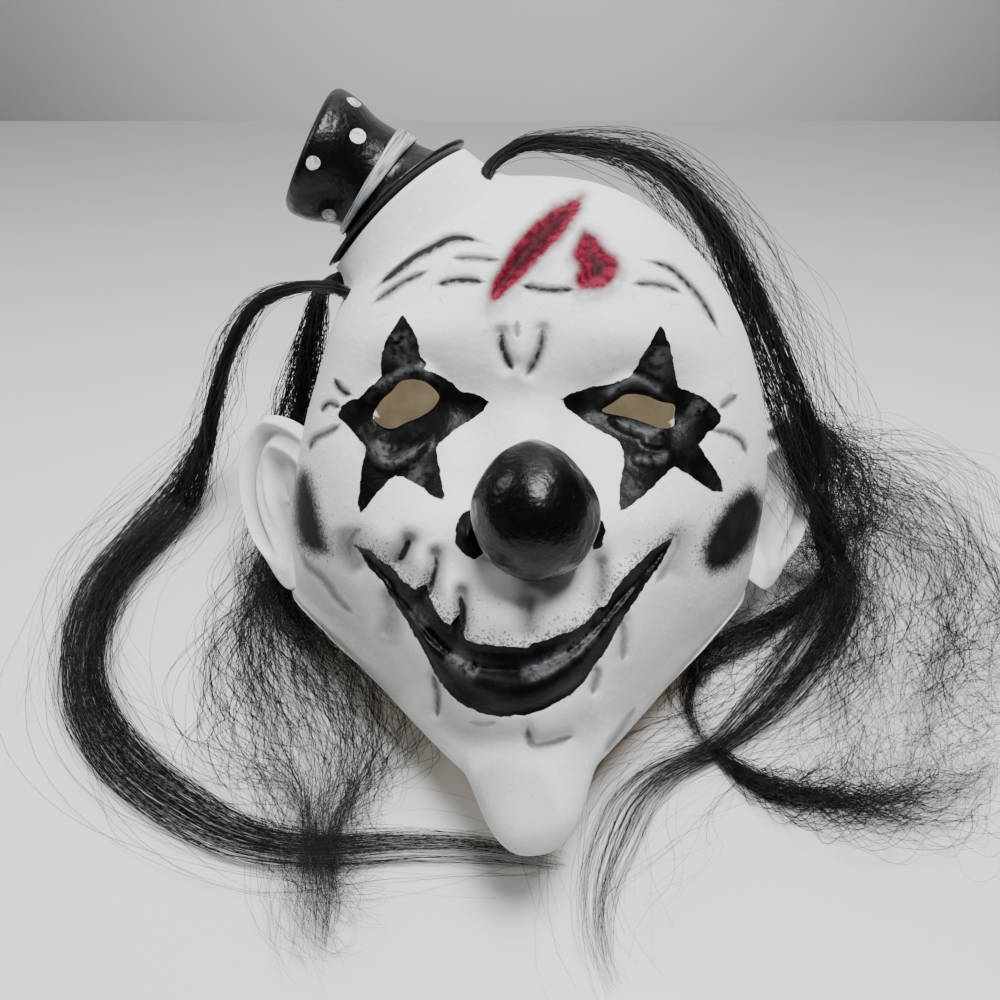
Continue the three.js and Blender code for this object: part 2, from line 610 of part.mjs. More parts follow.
function onHat(profile, segments) {
  const geometry = new THREE.LatheGeometry(profile.map(([r, h]) => new THREE.Vector2(r, h)), segments);
  return solid(setVertices(geometry, (p) => {
    const radius = Math.max(Math.hypot(p.x, p.z), 1);
    const share = Math.max(radius - WAIST, 0) / (BRIM_DIAMETER / 2 - WAIST);
    const curl = BRIM_CURL * share * (p.z / radius) ** 2;
    // below the brim the latex sweeps out at the front and back, and in at the sides
    const depth = THREE.MathUtils.clamp(-p.y / SEAT_HEIGHT, 0, 1.2);
    const sweep = SEAT_SWEEP * depth ** 2 * ((p.z / radius) ** 2 - 0.3) * Math.min(radius / WAIST, 1);
    p.x *= 1 + sweep / radius;
    p.z *= 1 + sweep / radius;
    const steps = 12;
    const middle = HAT_FOOT.clone();
    for (let k = 0; k < steps; k += 1) {
      const lean = hatLean(p.y * (k + 0.5) / steps);
      middle.addScaledVector(HAT_UP, Math.cos(lean) * p.y / steps);
      middle.addScaledVector(HAT_OVER, Math.sin(lean) * p.y / steps);
    }
    const lean = hatLean(p.y);
    middle.addScaledVector(HAT_OVER, p.x * Math.cos(lean));
    middle.addScaledVector(HAT_UP, curl - p.x * Math.sin(lean));
    return middle.addScaledVector(HAT_ACROSS, p.z).applyMatrix4(HEAD_TO_PART);
  }));
}

// Outline of the crown from its foot to its top edge, radius against height.
const BAND_LOW = CROWN_HEIGHT * 0.26;
const CROWN_FOOT = BRIM_THICKNESS + GAP;
const CROWN_OUTLINE = [
  [WAIST * 1.42, CROWN_FOOT],
  [WAIST * 1.25, CROWN_HEIGHT * 0.1],
  [WAIST * 1.1, CROWN_HEIGHT * 0.18],
  [WAIST * 1.03, BAND_LOW],
  [WAIST, CROWN_HEIGHT * 0.42],
  [CROWN_TOP_DIAMETER / 2 * 0.97, CROWN_HEIGHT * 0.72],
  [CROWN_TOP_DIAMETER / 2, CROWN_HEIGHT * 0.88],
  [CROWN_TOP_DIAMETER / 2 * 0.93, CROWN_HEIGHT * 0.97],
  [CROWN_TOP_DIAMETER / 2 * 0.8, CROWN_HEIGHT],
];

function crownRadius(height) {
  const k = CROWN_OUTLINE.findIndex((point) => point[1] >= height);
  const [lowRadius, low] = CROWN_OUTLINE[k - 1];
  const [highRadius, high] = CROWN_OUTLINE[k];
  return lowRadius + (highRadius - lowRadius) * (height - low) / (high - low);
}

function hatCrown() {
  const inner = CROWN_OUTLINE.map(([r, h]) => [r - CROWN_WALL, Math.min(h, CROWN_HEIGHT - CROWN_WALL)]).reverse();
  return onHat([...CROWN_OUTLINE, [0, CROWN_HEIGHT - 1], [0, CROWN_HEIGHT - 1 - CROWN_WALL], ...inner,
    CROWN_OUTLINE[0]].reverse(), 26);
}

function hatBand() {
  const low = BAND_LOW;
  const high = BAND_LOW + BAND_WIDTH;
  const inside = GAP;
  const outside = GAP + BAND_THICKNESS;
  return onHat([[crownRadius(low) + inside, low], [crownRadius(low) + outside, low],
    [crownRadius(high) + outside, high], [crownRadius(high) + inside, high], [crownRadius(low) + inside, low]], 26);
}

function hatBrim() {
  const edge = BRIM_DIAMETER / 2;
  const hole = WAIST;
  return onHat([[hole, 0], [edge * 0.8, 0], [edge, 1.4], [edge, 1.4 + BRIM_THICKNESS * 0.7],
    [edge * 0.8, BRIM_THICKNESS], [hole, BRIM_THICKNESS], [hole, 0]], 28);
}

// The outside of the seat, or with a wall the space inside it.
function hatSeat(wall) {
  const edge = BRIM_DIAMETER / 2 - 1.5 - wall;
  const foot = SEAT_HEIGHT * (wall ? 1.8 : 1.5);
  const top = wall ? GAP : -GAP;
  return onHat([[0, -foot], [edge, -foot], [edge * 0.98, -SEAT_HEIGHT * 0.6], [edge, -SEAT_HEIGHT * 0.2],
    [edge * 0.95, top], [WAIST, top], [0, top]], 24);
}

// The start of a lock: it stands off the scalp by a gap and rises straight out of it.
function rootRows(place) {
  const foot = outerHead(place.row, radians(place.turn));
  const outwards = headNormal(place.row, radians(place.turn));
  return [GAP, ROOT_RISE].map((rise) => {
    const p = foot.clone().addScaledVector(outwards, rise).applyMatrix4(HEAD_TO_PART);
    return [p.x, p.y, p.z, 0.35, 0.9];
  });
}

// A lock is a flattened tube along its route, drawn to a blunt point at its tip.
function lock(route, root) {
  const rows = route.map(([x, y, z, wide, thick]) => [x / 100 * HEAD_WIDTH, y / 100 * HEAD_DEPTH,
    z / 100 * HEAD_HEIGHT, wide, thick]);
  if (root) rows.unshift(...rootRows(root));
  const steps = rows.length - 1;
  const places = rows.map(([x, y, z, wide, thick]) => ({
    at: new THREE.Vector3(x, y, z),
    wide: wide * LOCK_WIDTH / 2,
    thick: thick * LOCK_THICKNESS / 2,
  }));
  const geometry = new THREE.CylinderGeometry(1, 1, 1, 7, steps);
  return solid(setVertices(geometry, (p) => {
    const k = Math.round((0.5 - p.y) * steps);
    const before = places[Math.max(k - 1, 0)].at;
    const after = places[Math.min(k + 1, steps)].at;
    const ahead = after.clone().sub(before).normalize();
    const across = new THREE.Vector3(-ahead.y, ahead.x, 0).normalize();
    const over = ahead.clone().cross(across);
    const { at, wide, thick } = places[k];
    const q = at.clone().addScaledVector(across, p.x * wide).addScaledVector(over, p.z * thick);
    q.z = Math.max(q.z, 0);
    return q;
  }));
}

function tuft(side, keepOut) {
  const locks = LOCKS[side].map((route, k) => lock(route, ROOTS[side][k]));
  return wasm.Manifold.union(locks).subtract(keepOut);
}

const WHITE = { color: 0xe9ebe6, roughness: 0.62, metalness: 0 };
const BLACK = { color: 0x101114, roughness: 0.4, metalness: 0 };
const SILVER = { color: 0x8f949b, roughness: 0.5, metalness: 0.2 };
const HAIR = { color: 0x0c0b0d, roughness: 0.55, metalness: 0 };

const hollow = headHollow();
const joined = wasm.Manifold.union([hatSeat(0), noseBall(0), ear(-1), ear(1)]).subtract(hollow);
const openings = wasm.Manifold.union([hatSeat(WALL), noseBall(WALL), ...EYE_HOLES.map(eyeCutter)]);
const maskShell = headWall().add(joined).subtract(openings);

const mask = new THREE.Group();
mask.add(meshOf('mask_shell', maskShell, WHITE));
mask.add(meshOf('hat_crown', hatCrown(), BLACK));
mask.add(meshOf('hat_band', hatBand(), SILVER));
mask.add(meshOf('hat_brim', hatBrim(), BLACK));
mask.add(meshOf('hair_tuft_left', tuft('left', maskShell), HAIR));
mask.add(meshOf('hair_tuft_right', tuft('right', maskShell), HAIR));

export default mask;
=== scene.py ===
import math
from functools import partial

import bmesh
import bpy
import numpy as np
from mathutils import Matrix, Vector
from mathutils.bvhtree import BVHTree


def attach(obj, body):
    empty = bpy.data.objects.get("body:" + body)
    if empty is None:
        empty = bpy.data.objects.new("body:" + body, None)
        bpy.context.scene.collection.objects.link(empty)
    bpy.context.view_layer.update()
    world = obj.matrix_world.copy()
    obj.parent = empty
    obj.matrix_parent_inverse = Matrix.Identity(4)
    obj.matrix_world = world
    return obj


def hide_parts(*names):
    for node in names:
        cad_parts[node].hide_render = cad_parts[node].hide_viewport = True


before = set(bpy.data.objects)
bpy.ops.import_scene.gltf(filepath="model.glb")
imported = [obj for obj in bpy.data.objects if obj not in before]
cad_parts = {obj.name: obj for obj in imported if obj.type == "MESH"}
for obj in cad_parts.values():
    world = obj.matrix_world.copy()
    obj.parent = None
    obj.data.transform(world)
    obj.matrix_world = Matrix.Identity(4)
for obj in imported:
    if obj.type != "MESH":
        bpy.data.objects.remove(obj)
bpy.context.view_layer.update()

MM = 0.001
PER_MM = 1000.0  # a pattern's scale is this over the size of its lumps in mm

# Driving sizes, in millimetres
HEAD_WIDTH, HEAD_DEPTH, HEAD_HEIGHT = 180.0, 175.0, 234.0
WALL = 2.5
TIP_BACK = math.radians(43)
PRESS = 17.0
CHEEK_BULGE = 4.2
CHIN_SPREAD = 0.12
NOSE_WIDTH, NOSE_LENGTH, NOSE_ABOVE, NOSE_BELOW = 38.0, 40.0, 21.8, 20.2
NOSE_PLACE = (1.9, -33.0, -35.0)
EAR_WIDTH, EAR_LENGTH, EAR_SINK, EAR_BOWL, EAR_TUCK = 38.0, 70.0, 11.0, 7.0, 11.0
EAR_ROW, EAR_TURN, EAR_TILT = 0.545, 84, math.radians(13)
CROWN_HEIGHT, CROWN_TOP_RADIUS, WAIST, CROWN_WALL = 38.0, 23.0, 19.5, 2.4
BAND_FOOT, BAND_WIDTH = CROWN_HEIGHT * 0.26, 4.5
BRIM_RADIUS, BRIM_THICKNESS, BRIM_CURL = 32.5, 1.8, 4.0
SEAT_HEIGHT, SEAT_SWEEP, SEAT_FOOT, SEAT_REACH = 14.0, 5.0, 21.0, 47.0
HAT_BEND = math.radians(24)
HAT_ROW, HAT_TURN, HAT_ABOVE = 0.16, math.radians(-58), 3.3
LOCK_WIDTH, LOCK_THICKNESS = 20.0, 7.0
ROOT_GAP, ROOT_RISE = 0.3, 4.0

# Where the photo was taken from, in the head's frame, and its lens
EYE_POINT = np.array([-8.7, -330.0, -31.1])
FRAME_PIXELS = 1000
PIXELS_PER_TANGENT = 1003.0
PLAN_MM = -EYE_POINT[1] / PIXELS_PER_TANGENT

OUTSIDE = -30.0  # a distance in mm that is well outside any painted outline
SKIN_COLUMNS, SKIN_ROWS = 336, 222
# From SOFT_LINE up a line is broad painted shade: partly the mask's own airbrush, mostly shade painted into
# the folds and onto the jaw and chin.
SOFT_LINE = 3.2  # lines with a half width from here up are broad sprayed shade
LINE_CLEAR = 14.0  # how far apart the drawn lines of one group keep

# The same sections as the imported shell, crown to rim: x is a share of half the width, y of the depth and
# z of the height.
# zFront, yFront, xCheek, yCheek, zCheek, xSide, ySide, zSide, yBack, zBack, shift
SECTIONS = np.array([
    (0.392, 0.354, 0.00, 0.354, 0.392, 0.00, 0.354, 0.392, 0.354, 0.392, 0.00),
    (0.375, 0.215, 0.20, 0.265, 0.380, 0.27, 0.366, 0.380, 0.510, 0.375, 0.02),
    (0.335, 0.100, 0.36, 0.170, 0.338, 0.48, 0.375, 0.340, 0.660, 0.333, 0.04),
    (0.275, 0.020, 0.49, 0.105, 0.278, 0.655, 0.385, 0.280, 0.777, 0.262, 0.05),
    (0.207, -0.030, 0.59, 0.065, 0.210, 0.78, 0.394, 0.213, 0.850, 0.180, 0.06),
    (0.137, -0.052, 0.66, 0.042, 0.140, 0.865, 0.400, 0.145, 0.897, 0.100, 0.07),
    (0.068, -0.055, 0.70, 0.035, 0.068, 0.930, 0.405, 0.068, 0.920, 0.034, 0.07),
    (0.000, -0.030, 0.72, 0.035, -0.004, 0.985, 0.410, -0.013, 0.937, -0.026, 0.06),
    (-0.085, -0.055, 0.70, 0.030, -0.080, 1.01, 0.410, -0.085, 0.943, -0.085, 0.05),
    (-0.180, -0.100, 0.66, 0.030, -0.165, 1.01, 0.405, -0.154, 0.925, -0.145, 0.04),
    (-0.273, -0.135, 0.61, 0.045, -0.245, 1.00, 0.395, -0.205, 0.890, -0.197, 0.03),
    (-0.350, -0.155, 0.57, 0.075, -0.315, 0.990, 0.383, -0.244, 0.840, -0.240, 0.02),
    (-0.415, -0.145, 0.53, 0.100, -0.370, 0.980, 0.372, -0.267, 0.780, -0.274, 0.01),
    (-0.462, -0.120, 0.51, 0.120, -0.412, 0.970, 0.362, -0.282, 0.710, -0.300, 0.00),
    (-0.505, -0.120, 0.50, 0.135, -0.435, 0.965, 0.357, -0.290, 0.640, -0.325, 0.00),
    (-0.540, -0.085, 0.49, 0.145, -0.448, 0.960, 0.354, -0.296, 0.595, -0.338, 0.00),
    (-0.525, 0.000, 0.48, 0.155, -0.450, 0.955, 0.350, -0.302, 0.526, -0.355, 0.00),
])

# Swellings and hollows on the face plan: x, z, half width, half height, turn in degrees, height, all mm.
MOUNDS = [
    (-40, 24, 26, 9, 6, 4), (41, 23, 26, 9, -6, 4),  # brows
    (0, 16, 10, 12, 0, 2.5),
    (-39, 0, 19, 13, 22, -7), (38, -1, 20, 12, -12, -7),  # eye sockets
    (-17, -4, 8, 11, 0, -3), (17, -4, 8, 11, 0, -3),
    (1, -20, 12, 18, 0, 9),  # bridge of the nose
    (-38, -40, 17, 12, 10, 5), (38, -38, 17, 12, -10, 5.5),  # cheek apples
    (0, -66, 30, 15, 0, 4),  # muzzle
    (-35, 55, 26, 20, 0, 2), (36, 55, 26, 20, 0, 2),
    (0, -111, 20, 5, 0, -4.5),  # over the chin
    (-57, -50, 7, 7, 0, -4), (51, -45, 7, 6, 0, -3),  # corners of the mouth
    (-45, -85, 14, 20, -35, 3), (40, -82, 14, 20, 35, 3),
    (-19.5, -43, 5, 8, 0, 6), (23.5, -42, 4, 7, 0, 5),  # wings of the nose
    (-36.5, -51, 4, 6, 25, 3.4), (-26, -61, 4, 8, 15, 3.6), (-9.5, -70, 8, 6, 0, 3.2),
    (13.5, -68, 9, 7, -12, 3.0),
    (-48, -43, 5, 5, 30, 3.0), (34, -58, 9, 5, -40, 2.5),
]

# Folds that are modelled: half width, height, then the points on the photo's frame.
FOLDS = [
    (2.6, -4.5, [(412, 532), (405, 551), (394, 570)]),  # between the lobes of the upper lip
    (2.4, -3.6, [(433, 544), (436, 562), (432, 580), (429, 597)]),
    (2.4, -3.6, [(461, 583), (462, 602), (462, 632)]),
    (3.6, -2.4, [(536, 588), (530, 616), (528, 643)]),
    (2.4, -3.6, [(600, 553), (602, 578), (600, 611)]),
    (2.6, -3.4, [(389, 588), (390, 616), (385, 642)]),  # beside the lips
    (2.2, -3.4, [(432, 666), (437, 690), (437, 722)]),
    (2.4, -3.0, [(622, 612), (624, 638), (622, 664)]),
    (1.8, -2.2, [(595, 663), (597, 677), (591, 697)]),
    (2.8, -3.4, [(502, 322), (502, 346), (508, 362), (515, 374)]),  # frown
    (2.8, -3.4, [(543, 318), (541, 345), (535, 362), (523, 381)]),
    (2.2, -3.0, [(530, 718), (528, 732), (532, 745), (552, 744), (580, 734)]),  # chin crease
    (3.0, -2.2, [(296, 546), (309, 567), (322, 579), (333, 592), (345, 608)]),  # jaw fold
    (2.3, 3.8, [(363, 402), (376, 391), (392, 381), (409, 371), (421, 370), (432, 380), (441, 392)]),  # lids
    (2.3, 3.6, [(594, 408), (606, 397), (620, 386), (634, 381), (645, 384), (662, 395), (674, 403)]),
    (2.0, 3.0, [(364, 423), (368, 443), (381, 459), (392, 463), (407, 457), (420, 446), (434, 432)]),  # bags
    (1.7, 1.8, [(372, 432), (383, 448), (396, 448), (412, 440)]),
    (2.0, 3.0, [(607, 414), (628, 426), (648, 432), (671, 432)]),
    (1.6, 1.7, [(640, 439), (656, 444), (671, 442)]),
    (1.6, 1.7, [(628, 458), (656, 460), (675, 453)]),
]

# Airbrushed lines, the thin ones each in its own shallow groove, and from SOFT_LINE up broad painted shade,
# partly the mask's own airbrush: half width in mm, darkness, then the points on the photo's frame.
LINES = [
    (1.9, 0.90, [(366, 296), (385, 280), (413, 258), (430, 249), (450, 239), (470, 239), (495, 247)]),
    (1.4, 0.65, [(446, 258), (475, 258), (506, 261)]),
    (1.5, 0.70, [(367, 308), (402, 283), (435, 268)]),
    (1.7, 0.75, [(430, 286), (461, 280), (490, 283)]),
    (1.6, 0.75, [(515, 285), (548, 290), (580, 290)]),
    (1.6, 0.70, [(634, 258), (666, 266), (683, 279), (703, 302), (725, 343)]),
    (1.5, 0.70, [(627, 284), (650, 284), (668, 287), (687, 296)]),
    (1.9, 0.75, [(502, 328), (502, 346), (508, 362), (516, 375)]),
    (1.9, 0.70, [(543, 323), (541, 345), (535, 362), (522, 382)]),
    (1.3, 0.55, [(517, 320), (517, 340)]),
    (1.6, 0.75, [(333, 376), (341, 390), (354, 397)]),
    (1.5, 0.70, [(320, 416), (328, 404), (343, 409)]),
    (1.5, 0.65, [(308, 457), (314, 440), (329, 432), (345, 422)]),
    (1.5, 0.65, [(740, 394), (729, 401), (718, 411)]),
    (1.5, 0.65, [(707, 431), (722, 432), (732, 435), (742, 443), (748, 460)]),
    (1.9, 0.50, [(295, 544), (309, 567), (320, 576), (331, 589), (337, 599), (362, 622)]),
    (2.2, 0.55, [(353, 562), (349, 546), (354, 534), (366, 527)]),
    (1.8, 0.80, [(411, 535), (404, 553), (396, 565)]),
    (1.7, 0.75, [(433, 549), (436, 564), (432, 583), (427, 603)]),
    (1.8, 0.85, [(462, 588), (461, 601), (463, 612), (462, 642)]),
    (2.8, 0.45, [(535, 590), (530, 616), (528, 645)]),
    (1.9, 0.60, [(600, 557), (602, 575), (602, 594), (600, 610)]),
    (2.0, 0.50, [(660, 545), (674, 536), (678, 546), (664, 572), (652, 590)]),
    (2.3, 0.45, [(389, 590), (390, 616), (385, 644)]),
    (1.6, 0.60, [(431, 668), (437, 690), (438, 704), (436, 725)]),
    (1.8, 0.55, [(622, 614), (624, 638), (622, 668)]),
    (1.8, 0.55, [(595, 661), (597, 677), (591, 699)]),
    (1.7, 0.60, [(530, 718), (528, 732), (532, 745), (550, 744), (582, 733)]),
    (1.3, 0.40, [(464, 721), (483, 725), (501, 722)]),
    (1.5, 0.45, [(640, 701), (622, 728), (600, 759)]),
    # From here on broad painted shade: in the grooves and creases round the lips, beside the mouth, under the
    # nose and under the eye.
    (5.0, 0.26, [(440, 705), (470, 725), (528, 734), (580, 720), (606, 695)]),
    (6.0, 0.16, [(352, 570), (372, 600), (398, 640), (430, 700)]),
    (6.0, 0.16, [(668, 572), (660, 610), (640, 650), (612, 700)]),
    (4.5, 0.24, [(334, 520), (338, 560), (352, 600), (372, 640)]),
    (7.0, 0.16, [(470, 560), (490, 590), (530, 598), (575, 590)]),
    (6.0, 0.14, [(395, 420), (410, 445), (440, 470)]),
    (4.6, 0.62, [(415, 522), (404, 553), (390, 574)]),
    (4.0, 0.60, [(434, 538), (436, 566), (428, 604)]),
    (3.8, 0.62, [(462, 574), (462, 610), (462, 648)]),
    (5.0, 0.46, [(537, 574), (531, 612), (528, 648)]),
    (4.4, 0.52, [(600, 540), (602, 578), (600, 615)]),
    (5.5, 0.62, [(346, 522), (350, 552), (364, 574)]),
    (6.0, 0.52, [(664, 530), (678, 548), (666, 578)]),
    (5.0, 0.55, [(389, 578), (392, 618), (385, 652)]),
    (4.0, 0.30, [(432, 662), (438, 696), (436, 730)]),
    (4.0, 0.34, [(622, 608), (625, 640), (620, 672)]),
    (6.5, 0.36, [(424, 684), (450, 722), (490, 740), (545, 742), (596, 712)]),
    # painted shade on the sides of the jaw, by the temple, round the frown and under the chin, where less
    # light falls
    (10.0, 0.26, [(300, 552), (326, 606), (366, 660), (412, 716)]),
    (10.0, 0.16, [(706, 586), (676, 640), (644, 690), (612, 742)]),
    (9.0, 0.14, [(336, 322), (318, 366), (310, 424)]),
    (5.0, 0.22, [(500, 316), (504, 350), (522, 386), (540, 352), (546, 316)]),
    (9.0, 0.26, [(430, 766), (470, 830), (540, 850), (588, 812)]),
    (22.0, 0.28, [(470, 770), (520, 800), (560, 790)]),
]

# Painted highlights on the raised parts of the black paint, partly paint rubbed back to grey: half width in
# mm, strength, then the points on the photo's frame.
SHEEN_AND_WEAR = [
    (2.6, 0.75, [(447, 652), (462, 664), (480, 674)]),
    (2.2, 0.60, [(516, 677), (543, 667), (561, 656), (579, 645), (600, 628)]),
    (1.8, 0.55, [(410, 606), (420, 616), (430, 626)]),
    (1.6, 0.70, [(376, 391), (392, 381), (409, 371), (421, 370), (434, 382)]),
    (1.6, 0.70, [(604, 399), (620, 386), (634, 381), (645, 384), (664, 396)]),
    (1.5, 0.65, [(368, 441), (381, 459), (392, 463), (407, 457), (422, 444)]),
    (1.3, 0.60, [(376, 438), (384, 448), (398, 448)]),
    (1.5, 0.65, [(618, 420), (628, 426), (648, 432), (668, 432)]),
    (1.3, 0.60, [(632, 458), (656, 460), (672, 454)]),
    (4.5, 0.45, [(398, 330), (402, 350), (398, 366)]),
    (4.5, 0.45, [(656, 345), (656, 362), (650, 374)]),
    (4.0, 0.35, [(405, 468), (430, 480)]),
    (4.0, 0.35, [(636, 478), (628, 495)]),
    (4.0, 0.35, [(690, 402), (704, 412)]),
]

# Outlines on the photo's frame.
EYE_HOLES = [
    [(411, 379), (400, 382), (392, 391), (381, 401), (373, 416), (377, 423), (386, 428), (395, 428),
     (407, 422), (420, 417), (432, 409), (438, 401), (439, 395), (432, 387), (423, 381)],
    [(600, 410), (606, 407), (617, 400), (624, 395), (634, 394), (647, 396), (654, 399), (662, 402),
     (673, 404), (675, 408), (674, 416), (674, 425), (669, 428), (659, 428), (648, 424), (634, 419),
     (617, 415), (606, 413)],
]
STARS = [
    [(402, 314), (411, 326), (418, 341), (420, 357), (427, 363), (423, 369), (435, 373), (455, 384),
     (461, 392), (473, 393), (490, 401), (483, 411), (470, 420), (450, 434), (436, 447), (439, 467),
     (445, 498), (442, 500), (434, 497), (418, 485), (403, 477), (396, 475), (388, 481), (379, 492),
     (371, 501), (361, 514), (358, 503), (360, 487), (362, 465), (366, 448), (350, 428), (340, 419),
     (338, 414), (342, 406), (348, 401), (359, 398), (366, 390), (376, 382), (381, 376), (381, 359),
     (383, 348), (389, 335), (396, 325)],
    [(660, 325), (666, 334), (670, 346), (674, 365), (678, 388), (685, 389), (704, 397), (718, 410),
     (722, 415), (720, 422), (712, 430), (706, 434), (705, 438), (698, 445), (708, 459), (717, 471),
     (721, 480), (723, 492), (712, 491), (701, 484), (690, 476), (675, 466), (668, 472), (654, 486),
     (640, 499), (628, 507), (621, 512), (619, 503), (620, 481), (624, 467), (623, 453), (620, 442),
     (606, 434), (585, 422), (568, 409), (560, 399), (571, 393), (589, 387), (609, 384), (628, 378),
     (635, 370), (640, 359), (649, 346), (656, 332)],
]
LIP_TOP = [
    (350, 542), (360, 547), (370, 550), (377, 557), (384, 562), (392, 566), (395, 570), (404, 582),
    (414, 589), (427, 583), (430, 597), (436, 610), (443, 620), (450, 626), (459, 613), (462, 628),
    (465, 640), (480, 644), (500, 646), (517, 647), (528, 647), (532, 643), (545, 640), (561, 634),
    (575, 629), (587, 621), (598, 607), (605, 606), (616, 588), (631, 570), (653, 549), (674, 537),
]
LIP_PARTING = [
    (350, 542), (374, 562), (393, 588), (414, 618), (429, 635), (448, 652), (479, 668), (518, 671),
    (546, 662), (574, 648), (596, 628), (622, 598), (648, 569), (674, 537),
]
LIP_BOTTOM = [
    (350, 542), (360, 552), (369, 568), (382, 581), (388, 592), (393, 599), (403, 616), (414, 634),
    (423, 649), (428, 660), (434, 673), (443, 686), (458, 702), (480, 713), (498, 717), (524, 715),
    (543, 710), (570, 695), (585, 682), (594, 665), (602, 656), (613, 638), (622, 620), (635, 601),
    (646, 584), (662, 562), (674, 537),
]
GASH = [
    (584, 194), (579, 213), (569, 230), (549, 252), (528, 273), (512, 288), (500, 300), (489, 307),
    (488, 296), (493, 280), (504, 262), (515, 243), (532, 224), (556, 205),
]
TEAR = [
    (584, 230), (596, 236), (605, 249), (616, 257), (620, 270), (612, 284), (598, 291), (581, 292),
    (574, 281), (580, 268), (572, 257), (576, 245),
]
CHEEK_SPOTS = [
    [(302, 470), (296, 481), (294, 500), (295, 524), (301, 545), (314, 553), (328, 552), (324, 535),
     (319, 515), (314, 492), (309, 475)],
    [(749, 486), (760, 496), (764, 514), (757, 534), (747, 551), (730, 567), (711, 573), (703, 562),
     (704, 546), (714, 525), (730, 502)],
]
NOSE_WINGS = [
    [(472, 508), (462, 512), (456, 526), (455, 543), (462, 553), (474, 560), (490, 548), (484, 515)],
    [(598, 518), (604, 522), (606, 532), (601, 547), (592, 552)],
]


def smooth(low, high, value):
    u = np.clip((value - low) / (high - low), 0.0, 1.0)
    return u * u * (3 - 2 * u)


def both_ends(share, reach):
    """Fades out towards both ends of a line."""
    return smooth(0, reach, share) * smooth(0, reach, 1 - share)


def ridge(distance, half):
    return np.exp(-((distance / half) ** 2))


def unit(v):
    return v / np.maximum(np.linalg.norm(v, axis=-1, keepdims=True), 1e-9)


def plan(points):
    """Places on the photo's frame, in pixels, to the plane through the eyes, in mm."""
    p = np.array(points, float)
    half = FRAME_PIXELS / 2
    x = (p[:, 0] - half) * PLAN_MM + EYE_POINT[0]
    z = (half - p[:, 1]) * PLAN_MM + EYE_POINT[2]
    return np.column_stack([x, z])


def through(points, t):
    """A smooth curve through the rows of a table, at t from 0 to 1."""
    last = len(points) - 1
    place = np.clip(t, 0, 1) * last
    k = np.clip(np.floor(place).astype(int), 0, last - 1)
    u = (place - k)[..., None]
    b, c = points[k], points[k + 1]
    a = np.where((k == 0)[..., None], 2 * b - c, points[np.maximum(k - 1, 0)])
    d = np.where((k == last - 1)[..., None], 2 * c - b, points[np.minimum(k + 2, last)])
    return 0.5 * (2 * b + (c - a) * u + (2 * a - 5 * b + 4 * c - d) * u**2 + (3 * b - a - 3 * c + d) * u**3)


def along(path, x, z):
    """Distance to a path, with its sign to one side, and the share of the way along it."""
    line = through(plan(path), np.linspace(0, 1, 6 * len(path)))
    steps = np.diff(line, axis=0)
    lengths = np.hypot(steps[:, 0], steps[:, 1])
    before = np.concatenate([[0], np.cumsum(lengths)])
    nearest = np.full(x.shape, 1e9)
    share = np.zeros(x.shape)
    for (ax, az), (bx, bz), length, start in zip(line[:-1], steps, lengths, before):
        u = np.clip(((x - ax) * bx + (z - az) * bz) / (length * length), 0, 1)
        d = np.hypot(x - ax - u * bx, z - az - u * bz)
        closer = d < np.abs(nearest)
        side = np.where(bx * (z - az) > bz * (x - ax), d, -d)
        nearest = np.where(closer, side, nearest)
        share = np.where(closer, (start + u * length) / before[-1], share)
    return nearest, share


def line_groups():
    """The drawn lines, sorted so that those of one group keep well clear of each other."""
    groups = []
    for half, darkness, path in LINES:
        if half >= SOFT_LINE:
            continue
        line = through(plan(path), np.linspace(0, 1, 40))
        for group in groups:
            gaps = [np.linalg.norm(line[:, None] - other[None], axis=-1).min() for *_, other in group]
            if min(gaps) > LINE_CLEAR:
                break
        else:
            group = []
            groups.append(group)
        group.append((half, darkness, path, line))
    return groups


def inside(outline, x, z):
    """Distance in mm inside an outline, negative outside it."""
    ring = plan(outline)
    nearest = np.full(x.shape, 1e9)
    within = np.zeros(x.shape, bool)
    for (ax, az), (cx, cz) in zip(ring, np.roll(ring, -1, axis=0)):
        bx, bz = cx - ax, cz - az
        u = np.clip(((x - ax) * bx + (z - az) * bz) / (bx * bx + bz * bz), 0, 1)
        nearest = np.minimum(nearest, np.hypot(x - ax - u * bx, z - az - u * bz))
        crosses = (az > z) != (cz > z)
        slope = np.where(crosses, (cx - ax) * (z - az) / np.where(crosses, cz - az, 1) + ax, -1e9)
        within ^= crosses & (x < slope)
    return np.where(within, nearest, -nearest)


def on_line(points, x):
    line = plan(points)
    return np.interp(x, line[:, 0], line[:, 1])


def odd_series(cheek, side, rear, turn):
    """A smooth ring through its values at 45, 90 and 135 degrees that is nought in front and behind."""
    total = (cheek + rear) / 2 / math.sqrt(0.5)
    return ((total + side) / 2 * np.sin(turn) + (cheek - rear) / 2 * np.sin(2 * turn)
            + (total - side) / 2 * np.sin(3 * turn))


def even_series(values, turn):
    """A smooth ring through five values from the front to the back, the same on both sides."""
    ends = (0, 4)
    total = 0
    for k in range(5):
        waves = [v * math.cos(math.pi * k * j / 4) for j, v in enumerate(values)]
        amount = sum(wave * (0.5 if j in ends else 1) for j, wave in enumerate(waves))
        total = total + amount * (0.25 if k in ends else 0.5) * np.cos(k * turn)
    return total


